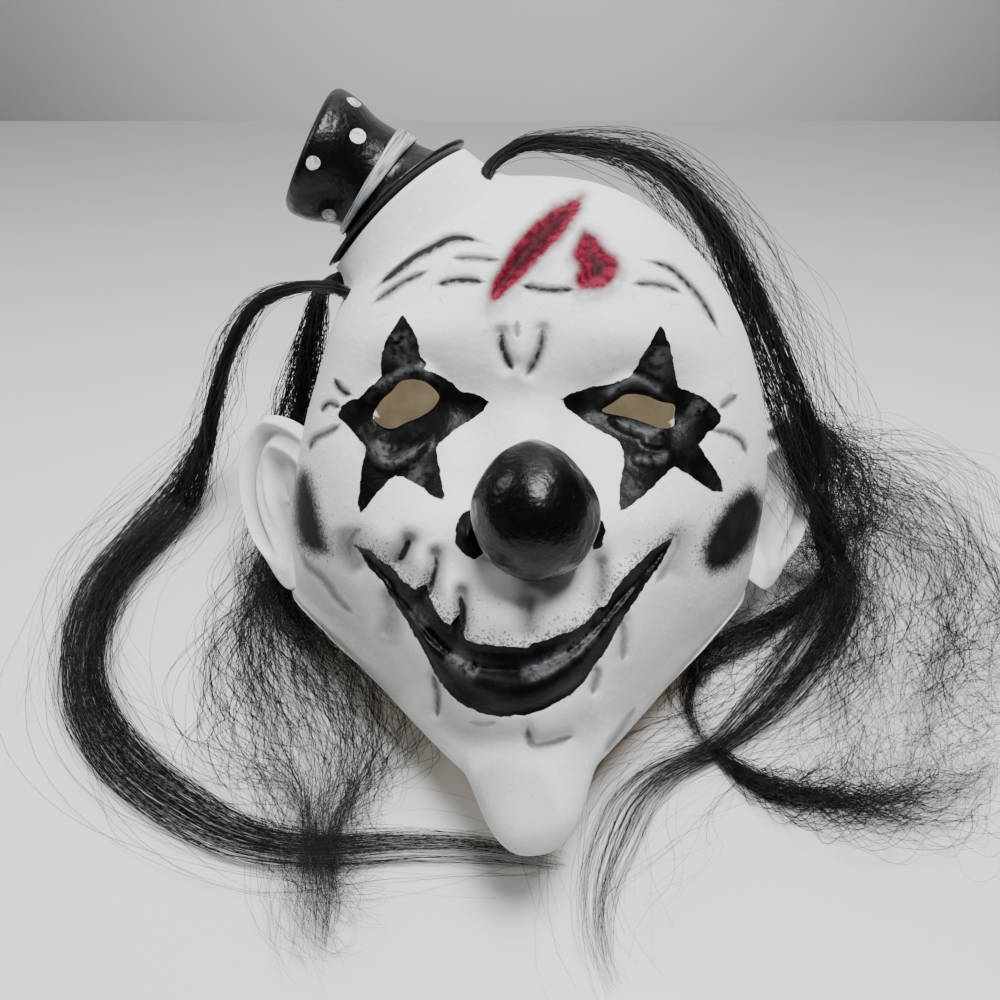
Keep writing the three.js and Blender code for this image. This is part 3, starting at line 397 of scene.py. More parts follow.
def plain_head(t, turn):
    """The bald head without features, at t from the crown to the rim and turn from the face."""
    row = np.moveaxis(through(SECTIONS, t), -1, 0)
    z_front, y_front, x_cheek, y_cheek, z_cheek, x_side, y_side, z_side, y_back, z_back, shift = row
    y = even_series([y_front, y_cheek, y_side, y_side + (y_back - y_side) * 0.7, y_back], turn) * HEAD_DEPTH
    z = even_series([z_front, z_cheek, z_side, z_side + (z_back - z_side) * 0.6, z_back], turn) * HEAD_HEIGHT
    x = odd_series(x_cheek, x_side, x_side * 0.74, turn) * HEAD_WIDTH / 2
    x = x + shift * HEAD_WIDTH / 2 * smooth(-15, 55, y)
    # the cheek on the left swells out in front of the ear
    cheek = ridge(z + 46, 34) * smooth(-10, 45, y) * (1 - smooth(85, 120, y)) * smooth(50, 85, -x)
    x = x - CHEEK_BULGE * cheek
    p = np.stack([x, y, z], -1)
    # the chin is pushed forwards and down from the jaw
    away = (p - np.array([2, -12, -120])) / np.array([1, 1.3, 1])
    amount = 1 - smooth(7, 25, np.linalg.norm(away, axis=-1))
    p[..., 0] += CHIN_SPREAD * amount * (p[..., 0] - 1)
    return p + amount[..., None] * np.array([0, -10, -13])


def face_plan(p):
    """Where points of the head show on the plane through the eyes."""
    scale = EYE_POINT[1] / (EYE_POINT[1] - p[..., 1])
    x, z = [(p[..., k] - EYE_POINT[k]) * scale + EYE_POINT[k] for k in (0, 2)]
    return x, z


def raise_face(p, turn, height):
    """Moves the face towards where it is seen from, so that nothing drawn on it slides."""
    fade = (1 - smooth(25, 55, p[..., 1])) * (np.abs(turn) < math.pi / 2)
    return p + unit(EYE_POINT - p) * (height * fade)[..., None]


def mounds(x, z):
    """Height of the broad swellings and hollows."""
    height = np.zeros(x.shape)
    for mx, mz, half_width, half_height, turn, rise in MOUNDS:
        c, s = math.cos(math.radians(turn)), math.sin(math.radians(turn))
        u = ((x - mx) * c + (z - mz) * s) / half_width
        v = ((z - mz) * c - (x - mx) * s) / half_height
        height += rise * np.exp(-u * u - v * v)
    return height


def mouth(x, z):
    """Height of the lips, and distance in mm inside them."""
    top, parting, bottom = on_line(LIP_TOP, x), on_line(LIP_PARTING, x), on_line(LIP_BOTTOM, x)
    within = inside(LIP_TOP + LIP_BOTTOM[::-1][1:-1], x, z)
    fullness = np.clip((top - bottom) / 22, 0, 1)
    lower = np.clip((parting - z) / np.maximum(parting - bottom, 0.1), 0, 1)
    upper = np.clip((z - parting) / np.maximum(top - parting, 0.1), 0, 1)
    lower_lip = 5.5 * fullness * np.sin(math.pi * lower) ** 0.6
    upper_lip = 1.5 * np.sin(math.pi * upper) ** 0.7
    swell = np.where(z < parting, lower_lip, upper_lip)
    return (swell - 3.2) * smooth(0, 2.2, within), within


def relief(x, z):
    """Height of the folds, the grooves of the drawn lines, the wounds and the lips."""
    height = np.zeros(x.shape)
    grooves = [(half * 1.8, -0.5 * darkness, path) for half, darkness, path in LINES if half < SOFT_LINE]
    for half, rise, path in FOLDS + grooves:
        distance, share = along(path, x, z)
        height += rise * ridge(distance, half) * both_ends(share, 0.2)
    # torn skin stands up round the wounds and sinks within them
    for wound, depth in ((GASH, 2.6), (TEAR, 2.2)):
        d = inside(wound, x, z)
        height += 1.3 * ridge(d + 1.4, 1.6) - depth * smooth(0, 5, d)
    return height + mouth(x, z)[0]


def outer_head(t, turn):
    """The outside of the head with its features."""
    p = plain_head(t, turn)
    p = raise_face(p, turn, mounds(*face_plan(p)))
    return raise_face(p, turn, relief(*face_plan(p)))


# How the head lies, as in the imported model
TIPPED = np.array([
    [1, 0, 0],
    [0, math.cos(TIP_BACK), math.sin(TIP_BACK)],
    [0, -math.sin(TIP_BACK), math.cos(TIP_BACK)],
])


def rest_place():
    """How far the tipped head moves so that its pressed back lies flat on the origin."""
    t, turn = np.meshgrid(np.linspace(0, 1, 61), np.radians(np.arange(-180, 180, 6)), indexing="ij")
    p = outer_head(t, turn) @ TIPPED.T
    ground = p[..., 2].min() + PRESS
    pressed = p[..., 1][p[..., 2] < ground]
    return np.array([0, -(pressed.min() + pressed.max()) / 2, -ground])


REST_PLACE = rest_place()


def laid(p):
    """From the head's frame to the part's, still in mm."""
    return p @ TIPPED.T + REST_PLACE


CAMERA_PLACE = laid(EYE_POINT)


# Camera

def add_camera():
    data = bpy.data.cameras.new("camera")
    data.sensor_width = 36
    data.lens = 36 * PIXELS_PER_TANGENT / FRAME_PIXELS
    data.clip_start = 0.01
    camera = bpy.data.objects.new("camera", data)
    camera.location = CAMERA_PLACE * MM
    camera.rotation_euler = (math.pi / 2 - TIP_BACK, 0, 0)
    bpy.context.scene.collection.objects.link(camera)
    bpy.context.scene.camera = camera


# Materials

def linear(hex_colour):
    channels = [int(hex_colour[k:k + 2], 16) / 255 for k in (1, 3, 5)]
    return tuple(c / 12.92 if c <= 0.04045 else ((c + 0.055) / 1.055) ** 2.4 for c in channels) + (1.0,)


def add_node(tree, kind, *inputs, output=None, **settings):
    """Adds a node and gives one of its outputs, the first live one unless another is named. Its live sockets
    take the inputs in order: an output, a value, a hex colour, or None to leave one as it is."""
    node = tree.nodes.new("ShaderNode" + kind)
    for key, value in settings.items():
        setattr(node, key, value)
    for socket, value in zip([socket for socket in node.inputs if socket.enabled], inputs):
        if isinstance(value, bpy.types.NodeSocket):
            tree.links.new(value, socket)
        elif value is not None:
            socket.default_value = linear(value) if isinstance(value, str) else value
    return node.outputs[output] if output else [socket for socket in node.outputs if socket.enabled][0]


# Settings that many nodes share
COLOUR = {"data_type": "RGBA"}
SOFT = {"interpolation_type": "SMOOTHSTEP"}
TIMES = {"operation": "MULTIPLY"}
TIMES_PLUS = {"operation": "MULTIPLY_ADD"}
LARGER = {"operation": "MAXIMUM"}


def new_material(name, roughness, **settings):
    """A material, what adds nodes to it, and its shader."""
    material = bpy.data.materials.new(name)
    material.use_nodes = True
    tree = material.node_tree
    shader = tree.nodes["Principled BSDF"]
    shader.inputs["Roughness"].default_value = roughness
    for key, value in settings.items():
        shader.inputs[key.replace("_", " ")].default_value = value
    return material, partial(add_node, tree), shader


def join_finish(add, shader, colour, layers=(), roughness=None):
    """Joins a finish to the shader: its colour, its relief in layers, each a height and how many mm it
    stands, and its roughness where that varies."""
    normal = None
    for height, depth_mm in layers:
        normal = add("Bump", None, depth_mm * MM, None, height, normal)
    for socket, value in (("Base Color", colour), ("Normal", normal), ("Roughness", roughness)):
        if value:
            shader.id_data.links.new(value, shader.inputs[socket])


LINE_GROUPS = line_groups()
OUTLINES = ("star", "lips", "cheek", "wing", "gash", "tear")
SHADES = ("line", "spray", "hollow", "sheen_and_wear")


def painted_face():
    """Latex brushed and sprayed with acrylic: matt white, airbrushed grey in the folds with painted shade
    added to it, brushed satin black with painted highlights where it stands up."""
    material, add, shader = new_material("painted_latex_face", 0.5, Specular_IOR_Level=0.11)
    mark = {name: add("Attribute", output="Fac", attribute_name=name) for name in OUTLINES + SHADES}
    place = add("TexCoord", output="Object")
    fine = add("TexNoise", place, PER_MM / 2.2, 4.0)
    patches = add("TexNoise", place, PER_MM / 7.0, 3.0)
    specks = add("TexNoise", place, PER_MM / 0.9, 2.0)
    lumps = add("MapRange", add("TexNoise", place, PER_MM / 40, 3.0), 0.35, 0.7)
    white = add("Mix", lumps, "#e6e9e7", "#dadedd", **COLOUR)
    white = add("Mix", add("MapRange", fine, 0.55, 0.75, **SOFT), white, "#f1f3f1", **COLOUR)
    # drawn lines in dark airbrush grey, and broad painted shade in the folds, on the jaw and the chin and in
    # the ears
    drawn = mark["line"]
    waver = add("Math", fine, 0.45, -0.225, **TIMES_PLUS)
    for k in range(len(LINE_GROUPS)):
        side = add("Attribute", output="Fac", attribute_name=f"side_{k}")
        side = add("Math", add("Math", side, waver, operation="ADD"), operation="ABSOLUTE")
        dark = add("Attribute", output="Fac", attribute_name=f"dark_{k}")
        stroke = add("Math", dark, add("MapRange", side, 1.75, 0.0, **SOFT), **TIMES)
        drawn = add("Math", drawn, stroke, **LARGER)
    uneven = add("Math", fine, 0.5, 0.85, **TIMES_PLUS)
    colour = add("Mix", add("Math", drawn, uneven, **TIMES), white, "#222427", **COLOUR)
    # painted shade in the bowls of the ears
    colour = add("Mix", add("Math", mark["hollow"], 0.55, **TIMES), colour, "#84898b", **COLOUR)
    # sprayed dots that thin out away from the lips and cheek spots
    dots = add("MapRange", add("Math", mark["spray"], 0.27, specks, **TIMES_PLUS), 0.72, 0.76, **SOFT)
    colour = add("Mix", add("Math", dots, 0.7, **TIMES), colour, "#1b1c1e", **COLOUR)
    # crimson wounds, sprayed at the edge, with a darker hatched middle
    ragged = add("Math", add("TexNoise", place, PER_MM / 5.0, 3.0), 3.0, -1.5, **TIMES_PLUS)
    gash = add("Math", mark["gash"], ragged, operation="ADD")
    tear = add("Math", mark["tear"], ragged, operation="ADD")
    gash_edge = add("MapRange", gash, -3.4, 1.4, **SOFT)
    tear_edge = add("MapRange", tear, -4.0, 1.6, **SOFT)
    gash_middle = add("Math", add("MapRange", gash, 1.2, 4.2, **SOFT), 0.8, **TIMES)
    tear_middle = add("MapRange", tear, 2.4, 6.2, **SOFT)
    crimson = add("Mix", add("MapRange", fine, 0.35, 0.65, **SOFT), "#510a18", "#7d1f37", **COLOUR)
    crimson = add("Mix", gash_middle, crimson, "#25040d", **COLOUR)
    crimson = add("Mix", tear_middle, crimson, "#12060a", **COLOUR)
    colour = add("Mix", add("Math", gash_edge, tear_edge, **LARGER), colour, crimson, **COLOUR)
    # black brushwork with a slightly unsteady edge, made grey where it stands up by painted highlights,
    # partly paint rubbed back
    shaky = add("Math", add("TexNoise", place, PER_MM / 2.6, 3.0), 1.5, -0.75, **TIMES_PLUS)
    brushed = add("Math", mark["star"], add("Math", mark["lips"], mark["wing"], **LARGER), **LARGER)
    black = add("MapRange", add("Math", brushed, shaky, operation="ADD"), -0.18, 0.18, **SOFT)
    sprayed = add("MapRange", add("Math", shaky, 1.2, mark["cheek"], **TIMES_PLUS), -3.4, 2.2, **SOFT)
    paint = add("Mix", add("MapRange", patches, 0.45, 0.8, **SOFT), "#060607", "#17181a", **COLOUR)
    scuffed = add("MapRange", add("Math", fine, patches, operation="ADD"), 0.75, 1.15, **SOFT)
    # painted highlight on the raised black, partly rubbed paint
    sheen_and_rubbing = add("Math", add("Math", mark["sheen_and_wear"], scuffed, **TIMES), 0.6, **TIMES)
    paint = add("Mix", sheen_and_rubbing, paint, "#808386", **COLOUR)
    colour = add("Mix", add("Math", black, sprayed, **LARGER), colour, paint, **COLOUR)
    groove = add("Math", 1.0, drawn, operation="SUBTRACT")
    dents = add("TexNoise", place, PER_MM / 9.0, 2.0)
    layers = [(dents, 0.35), (groove, 0.7), (fine, 0.2), (specks, 0.06), (black, 0.2)]
    join_finish(add, shader, colour, layers, add("Math", black, -0.27, 0.62, **TIMES_PLUS))
    return material


def bare_latex():
    """Unpainted cast latex, as inside the mask: amber beige, slightly translucent and tacky."""
    material, add, shader = new_material("cast_latex_inside", 0.55, Emission_Strength=0.16)
    place = add("TexCoord", output="Object")
    amber = add("Mix", add("TexNoise", place, PER_MM / 12, 3.0), "#e4d9c4", "#9c8e74", **COLOUR)
    # painted glow: the latex colour given off as light, for daylight that soaks through the thin wall
    shader.id_data.links.new(amber, shader.inputs["Emission Color"])
    join_finish(add, shader, amber, [(add("TexNoise", place, PER_MM / 3, 3.0), 0.3)])
    return material


def glossy_black(name, roughness, dotted=False):
    """Thick black acrylic brushed on latex: deep black with a soft shine, fine scuffs and pits."""
    material, add, shader = new_material(name, roughness, Specular_IOR_Level=0.26)
    place = add("TexCoord", output="Object")
    fine = add("TexNoise", place, PER_MM / 1.8, 5.0)
    dents = add("TexNoise", place, PER_MM / 5.0, 2.0)
    patches = add("TexNoise", place, PER_MM / 14, 3.0)
    scuffs = add("MapRange", add("TexNoise", place, PER_MM / 0.7, 2.0), 0.68, 0.78, **SOFT)
    colour = add("Mix", add("MapRange", patches, 0.4, 0.8, **SOFT), "#040405", "#101113", **COLOUR)
    colour = add("Mix", add("Math", scuffs, 0.2, **TIMES), colour, "#54585b", **COLOUR)
    if dotted:
        # white acrylic dots with an unsteady edge, thin where they are rubbed
        inside_dot = add("Attribute", output="Fac", attribute_name="dot")
        whiteness = add("Attribute", output="Fac", attribute_name="whiteness")
        shaky = add("Math", add("TexNoise", place, PER_MM / 3, 3.0), 0.8, -0.4, **TIMES_PLUS)
        painted = add("MapRange", add("Math", inside_dot, shaky, operation="ADD"), -0.12, 0.12, **SOFT)
        thin = add("Math", whiteness, -0.35, add("TexNoise", place, PER_MM / 1.5, 3.0), **TIMES_PLUS)
        dot = add("Mix", add("MapRange", thin, 0.1, 0.4, **SOFT), "#e2e4e5", "#8c9092", **COLOUR)
        colour = add("Mix", painted, colour, dot, **COLOUR)
    shine = add("Math", patches, 0.14, roughness - 0.06, **TIMES_PLUS)
    join_finish(add, shader, colour, [(patches, 0.35), (dents, 0.45), (fine, 0.22)], shine)
    return material


def silver_paint():
    """Thin metallic paint brushed along the band, so its streaks run round the hat."""
    material, add, shader = new_material("brushed_silver_band", 0.42)
    across = add("Math", add("Attribute", output="Fac", attribute_name="round"), 1.6, **TIMES)
    up = add("Math", add("Attribute", output="Fac", attribute_name="up"), 1.5, **TIMES)
    streaks = add("TexNoise", add("CombineXYZ", across, up), 1.0, 4.0)
    colour = add("Mix", add("MapRange", streaks, 0.35, 0.65, **SOFT), "#4d5257", "#b9bec2", **COLOUR)
    join_finish(add, shader, colour, [(streaks, 0.25)])
    return material


def black_hair():
    """Synthetic black hair: smooth fibres with a cool sheen, each strand a little lighter or darker."""
    material, add, shader = new_material("synthetic_hair", 0.42, Specular_IOR_Level=0.3)
    shade = add("Attribute", output="Fac", attribute_name="shade")
    join_finish(add, shader, add("Mix", shade, "#040405", "#19181b", **COLOUR))
    return material


def table_card():
    """Pale card, a little glossy, with painted shade that darkens it towards the back wall."""
    material, add, shader = new_material("pale_table", 0.42)
    place = add("TexCoord", output="Object")
    near = add("Mix", add("TexNoise", place, PER_MM / 180, 3.0), "#dededc", "#eaeae8", **COLOUR)
    # painted shade: darker towards the back wall, where less light falls
    far = add("MapRange", add("SeparateXYZ", place, output="Y"), -0.12, 0.5, **SOFT)
    join_finish(add, shader, add("Mix", far, near, "#8f8f8d", **COLOUR))
    return material


def backdrop_paper():
    """Matt pale paper with painted shade that darkens it to both sides."""
    material, add, shader = new_material("pale_backdrop", 0.8)
    across = add("SeparateXYZ", add("TexCoord", output="Object"), output="X")
    # painted shade: darker towards both sides, where less light falls
    sides = add("MapRange", add("Math", across, operation="ABSOLUTE"), 0.05, 0.5, **SOFT)
    join_finish(add, shader, add("Mix", sides, "#c9cac8", "#7d7e7c", **COLOUR))
    return material


# Meshes

def deselect():
    bpy.ops.object.select_all(action="DESELECT")


def make_active(obj):
    deselect()
    obj.select_set(True)
    bpy.context.view_layer.objects.active = obj


def get_points(obj):
    points = np.empty(len(obj.data.vertices) * 3)
    obj.data.vertices.foreach_get("co", points)
    return points.reshape(-1, 3)


def set_points(obj, points):
    obj.data.vertices.foreach_set("co", np.ascontiguousarray(points, float).ravel())
    obj.data.update()


def mark_points(obj, name, values):
    attribute = obj.data.attributes.new(name, "FLOAT", "POINT")
    attribute.data.foreach_set("value", np.ascontiguousarray(values, np.float32))


def add_ball(name, columns, rows):
    """A unit ball whose points are then laid out by code."""
    deselect()
    bpy.ops.mesh.primitive_uv_sphere_add(segments=columns, ring_count=rows, radius=1, location=(0, 0, 0))
    obj = bpy.context.object
    obj.name = name
    obj.data.name = name
    return obj


def finish_piece(obj, materials):
    for material in materials:
        obj.data.materials.append(material)
    make_active(obj)
    bpy.ops.object.shade_smooth()
    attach(obj, "root")
    return obj


def apply_modifier(obj, kind, **settings):
    modifier = obj.modifiers.new(kind.lower(), kind)
    for key, value in settings.items():
        setattr(modifier, key, value)
    make_active(obj)
    bpy.ops.object.modifier_apply(modifier=modifier.name)


def recalculate(obj):
    """Turns all faces outwards."""
    make_active(obj)
    bpy.ops.object.mode_set(mode="EDIT")
    bpy.ops.mesh.select_all(action="SELECT")
    bpy.ops.mesh.normals_make_consistent(inside=False)
    bpy.ops.object.mode_set(mode="OBJECT")


def plain_marks(obj):
    """The paint marks of a piece that carries none of them."""
    count = len(obj.data.vertices)
    strokes = [f"{kind}_{k}" for k in range(len(LINE_GROUPS)) for kind in ("side", "dark")]
    for name in OUTLINES:
        mark_points(obj, name, np.full(count, OUTSIDE))
    for name in list(SHADES) + strokes:
        if name not in obj.data.attributes:
            mark_points(obj, name, np.zeros(count))


def mark_face(obj, x, z, near):
    """Writes where the paint lies on the face."""
    far = np.where(near, 0.0, OUTSIDE)
    lips = mouth(x, z)[1]
    cheek = np.max([inside(spot, x, z) for spot in CHEEK_SPOTS], axis=0)
    marks = {
        "star": np.max([inside(star, x, z) for star in STARS], axis=0),
        "lips": lips,
        "cheek": cheek,
        "wing": np.max([inside(wing, x, z) for wing in NOSE_WINGS], axis=0),
        "gash": inside(GASH, x, z),
        "tear": inside(TEAR, x, z),
    }
    for name, values in marks.items():
        mark_points(obj, name, np.minimum(values, -OUTSIDE) + far)
    for k, group in enumerate(LINE_GROUPS):
        side = np.full(len(x), 9.0)
        dark = np.zeros(len(x))
        for half, darkness, path, _ in group:
            distance, share = along(path, x, z)
            distance = distance / half
            ends = both_ends(share, 0.3)
            reach = 1 - smooth(2.6, 4.4, np.abs(distance))
            distance = distance / np.maximum(ends, 0.3)
            closer = np.abs(distance) < np.abs(side)
            side = np.where(closer, distance, side)
            strength = min(1.25 * darkness, 1.0) * np.minimum(1.7 * ends, 1.0) * reach
            dark = np.where(closer, strength, dark)
        mark_points(obj, f"side_{k}", side)
        mark_points(obj, f"dark_{k}", dark * near)
    # broad painted shade from the soft lines
    shade = np.zeros(len(x))
    sheen_and_wear = np.zeros(len(x))
    for table, total in ((LINES, shade), (SHEEN_AND_WEAR, sheen_and_wear)):
        for half, strength, path in table:
            if table is SHEEN_AND_WEAR or half >= SOFT_LINE:
                distance, share = along(path, x, z)
                np.maximum(total, strength * ridge(distance, half) * both_ends(share, 0.18), out=total)
    mark_points(obj, "line", shade * near)
    # painted highlights on the raised black, partly rubbed paint
    mark_points(obj, "sheen_and_wear", sheen_and_wear * near)
    spray = np.exp(np.minimum(lips, 0) / 5) * (z > on_line(LIP_PARTING, x)) * (np.abs(x) < 55)
    spray = np.maximum(spray, 0.8 * np.exp(np.minimum(cheek, 0) / 4))
    mark_points(obj, "spray", spray * near)
    mark_points(obj, "hollow", np.zeros(len(x)))


def mask_skin(face_paint, inside_latex):
    """The whole head is one moulding: a ball laid over the head, cut at the neck and the eyes, then given
    its wall."""
    obj = add_ball("mask_skin", SKIN_COLUMNS, SKIN_ROWS)
    ball = get_points(obj)
    rows = np.arccos(np.clip(ball[:, 2], -1, 1)) / math.pi * SKIN_ROWS / (SKIN_ROWS - 1)
    share = np.clip(rows, 0, 1)
    t = share + 0.05 * np.sin(2 * math.pi * share)
    side = np.arctan2(ball[:, 0], -ball[:, 1]) / math.pi
    turn = math.pi * (0.55 * side + 0.45 * side**5)
    base = plain_head(t, turn)
    p = outer_head(t, turn)
    x, z = face_plan(base)
    near = (np.abs(turn) < 1.8) & (p[:, 1] < 95)

    # points beside the eye holes are drawn onto their outlines
    within = np.full(len(p), OUTSIDE)
    for hole in EYE_HOLES:
        outline = through(plan(hole + hole[:1]), np.linspace(0, 1, 160))
        d = inside(hole, x, z)
        close = near & (np.abs(d) < 0.65)
        px = np.column_stack([x[close], z[close]])
        nearest = outline[np.argmin(((px[:, None] - outline[None]) ** 2).sum(-1), axis=1)]
        scale = ((p[close, 1] - EYE_POINT[1]) / -EYE_POINT[1])[:, None]
        p[close, 0::2] += (nearest - px) * scale
        within = np.maximum(within, np.where(near, d, OUTSIDE))
    p = laid(p)
    p[:, 2] = np.maximum(p[:, 2], 0)
    set_points(obj, p * MM)
    mark_face(obj, x, z, near)

    # the foot of the ball and the eye holes are cut away
    mesh = bmesh.new()
    mesh.from_mesh(obj.data)
    mesh.verts.ensure_lookup_table()
    lowest = int(np.argmin(ball[:, 2]))
    bmesh.ops.delete(mesh, geom=[mesh.verts[lowest]], context="VERTS")
    mesh.verts.ensure_lookup_table()
    within = np.delete(within, lowest)
    holes = [f for f in mesh.faces if sum(within[v.index] for v in f.verts) / len(f.verts) > 0]
    bmesh.ops.delete(mesh, geom=holes, context="FACES")
    mesh.to_mesh(obj.data)
    mesh.free()
    obj.data.materials.append(face_paint)
    obj.data.materials.append(inside_latex)
    recalculate(obj)
    obj.vertex_groups.new(name="inside")
    apply_modifier(obj, "SOLIDIFY", thickness=WALL * MM, offset=-1, material_offset=1,
                   material_offset_rim=1, shell_vertex_group="inside")
    # only the inside of the wall is made coarser
    apply_modifier(obj, "DECIMATE", ratio=0.62, vertex_group="inside")
    p = get_points(obj)
    p[:, 2] = np.maximum(p[:, 2], 0)
    set_points(obj, p)
    return finish_piece(obj, [])


def nose(paint):
    """A pear-shaped ball set into the face, with the dents of its mould."""
    obj = add_ball("nose", 128, 96)
    ball = get_points(obj)
    taper = np.where(ball[:, 2] > 0, 1 - 0.22 * ball[:, 2] ** 2, 1.0)
    lumps = 1 + 0.012 * np.sin(7 * ball[:, 0] + 2) * np.sin(6 * ball[:, 2] + 1)
    lumps = lumps + 0.01 * np.sin(11 * ball[:, 1] + 4 * ball[:, 0])
    lean = -1.2 * np.maximum(ball[:, 2], 0)
    p = np.column_stack([
        ball[:, 0] * NOSE_WIDTH / 2 * taper * lumps + lean,
        ball[:, 1] * NOSE_LENGTH / 2 * lumps,
        ball[:, 2] * np.where(ball[:, 2] > 0, NOSE_ABOVE, NOSE_BELOW) * lumps,
    ])
    set_points(obj, laid(p + NOSE_PLACE) * MM)
    return finish_piece(obj, [paint])


def ear(name, side, paint):
    """An ear with a rolled rim, a groove inside it, a forked ridge, a hollow bowl and a plain lobe."""
    anchor = outer_head(np.array([EAR_ROW]), np.array([math.radians(EAR_TURN * side)]))[0]
    out = np.array([side * 0.79, 0.61, 0])
    facing = np.array([side * 0.61, -0.79, 0])
    up = np.array([0, 0, 1.0])
    along_ear = out * math.cos(EAR_TILT) - up * math.sin(EAR_TILT)
    up_ear = up * math.cos(EAR_TILT) + out * math.sin(EAR_TILT)
    centre = anchor + out * (EAR_WIDTH / 2 - EAR_SINK)
    obj = add_ball(name, 96, 72)
    # the ball's poles face front and back
    b = get_points(obj)
    u, w, v = b[:, 0], b[:, 2], b[:, 1]
    reach = np.hypot(u, v)
    width = EAR_WIDTH / 2 * u * (1 + 0.22 * v)
    length = EAR_LENGTH / 2 * v
    on_front = smooth(-0.2, 0.3, w)
    above_lobe = smooth(-0.72, -0.3, v)
    bowl = -EAR_BOWL * (1 - smooth(0.35, 0.8, reach))
    rim = 2.8 * ridge(reach - 0.92, 0.07) * above_lobe
    groove_at = ridge(reach - 0.76, 0.075) * above_lobe * smooth(-0.55, -0.1, u + 0.5 * v)
    ridge_at = ridge(np.hypot(u + 0.12, v * 0.88 - 0.02) - 0.54, 0.09) * smooth(-0.5, 0.1, v)
    pit_at = np.exp(-((u + 0.3) ** 2 + (v + 0.08) ** 2) / 0.07)
    depth = bowl + w * 2.6 + on_front * (rim - 3.0 * groove_at + 3.2 * ridge_at - 3.6 * pit_at)
    # the inner edge is tucked in behind the cheek
    depth = depth + 0.5 * np.sin(3 * np.arctan2(v, u) + 1) - EAR_TUCK * smooth(0.1, 1.0, -u)
    p = centre + np.outer(width, along_ear) + np.outer(length, up_ear) + np.outer(depth, facing)
    set_points(obj, laid(p) * MM)
    recalculate(obj)
    front = w > 0
    # painted shade in the groove, the pit and the bowl of the ear, where less light reaches
    mark_points(obj, "line", np.maximum(0.5 * groove_at, 0.75 * pit_at) * front)
    mark_points(obj, "hollow", np.clip(-bowl / EAR_BOWL, 0, 1) * (1 - ridge_at) * front)
    plain_marks(obj)
    return finish_piece(obj, [paint])


# Hat

HAT_UP = unit(np.array([-0.65, -0.25, 0.72]))
HAT_OVER = np.array([-0.73, 0, -0.68])
HAT_OVER = unit(HAT_OVER - HAT_UP * (HAT_OVER @ HAT_UP))
HAT_ACROSS = np.cross(HAT_UP, HAT_OVER)
HAT_FOOT = outer_head(np.array([HAT_ROW]), np.array([HAT_TURN]))[0] + HAT_ABOVE * HAT_UP
HAT_COLUMNS = 144
CENTRE = 0.01  # radius of the last ring round the middle of a turned piece

# Outline of the crown from its foot over its top to the middle: shares of the waist's or the top's radius,
# against the height in mm
CROWN = [(WAIST * share, height) for share, height in (
    (1.42, 2.1), (1.34, 2.6), (1.22, 4.0), (1.1, 6.8), (1.03, 9.9), (1.0, 16.0), (1.03, 21.0))]
CROWN += [(CROWN_TOP_RADIUS * share, height) for share, height in (
    (0.97, 27.4), (1.0, 33.0), (0.98, 35.6), (0.91, 37.2), (0.8, CROWN_HEIGHT), (0.5, 37.7), (0.2, 37.3))]
CROWN += [(CENTRE, 37.2)]

# Painted dots that show: x and y on the photo's frame, half width and half height in pixels, turn in
# degrees, how white.
SEEN_DOTS = [(354, 102, 7.6, 3.6, 30, 0.6), (358, 136, 8.2, 8.0, 0, 1.0), (313, 163, 7.3, 7.2, 0, 0.8),
             (329, 215, 7.4, 6.0, 20, 0.55), (394, 190, 2.9, 6.4, 15, 0.9)]
# Painted dots round the back: turn in radians and height in mm on the crown, radius in mm.
BACK_DOTS = [(-0.5, 29, 2.8), (-1.2, 20, 2.8), (-1.9, 30, 2.8), (-2.5, 19, 2.8), (-3.1, 29, 2.8),
             (-0.4, 6, 2.4), (-1.7, 5.5, 2.4)]


def on_hat(radius, turn, height):
    """Places on the hat, which leans over further up. The brim curls up at the front and the back."""
    share = np.maximum(radius - WAIST, 0) / (BRIM_RADIUS - WAIST)
    curl = BRIM_CURL * share * np.sin(turn) ** 2
    depth = np.clip(-height / SEAT_HEIGHT, 0, 1.2)
    reach = radius + SEAT_SWEEP * depth**2 * (np.sin(turn) ** 2 - 0.3) * np.minimum(radius / WAIST, 1)
    steps = 24
    middle = np.zeros(height.shape + (3,)) + HAT_FOOT
    for k in range(steps):
        lean = HAT_BEND * smooth(0, CROWN_HEIGHT * 0.6, height * (k + 0.5) / steps)
        rise = height / steps
        middle = middle + np.outer(np.cos(lean) * rise, HAT_UP) + np.outer(np.sin(lean) * rise, HAT_OVER)
    lean = HAT_BEND * smooth(0, CROWN_HEIGHT * 0.6, height)
    x, y = reach * np.cos(turn), reach * np.sin(turn)
    over = np.outer(x * np.cos(lean), HAT_OVER)
    up = np.outer(curl - x * np.sin(lean), HAT_UP)
    return middle + over + up + np.outer(y, HAT_ACROSS)


def turned(name, profile, dents):
    """A turned piece of the hat: a ball whose rows follow a profile from foot to top."""
    obj = add_ball(name, HAT_COLUMNS, len(profile) * 5)
    ball = get_points(obj)
    share = 1 - np.arccos(np.clip(ball[:, 2], -1, 1)) / math.pi
    place = through(np.array(profile, float), share)
    turn = np.arctan2(ball[:, 1], ball[:, 0])
    height = place[:, 1]
    lumps = np.sin(3 * turn + 0.13 * height) + 0.6 * np.sin(5 * turn - 0.2 * height + 1)
    radius = np.maximum(place[:, 0], 0) * (1 + dents * lumps)
    places = on_hat(radius, turn, height)
    set_points(obj, laid(places) * MM)
    recalculate(obj)
    return obj, turn, height, share, places


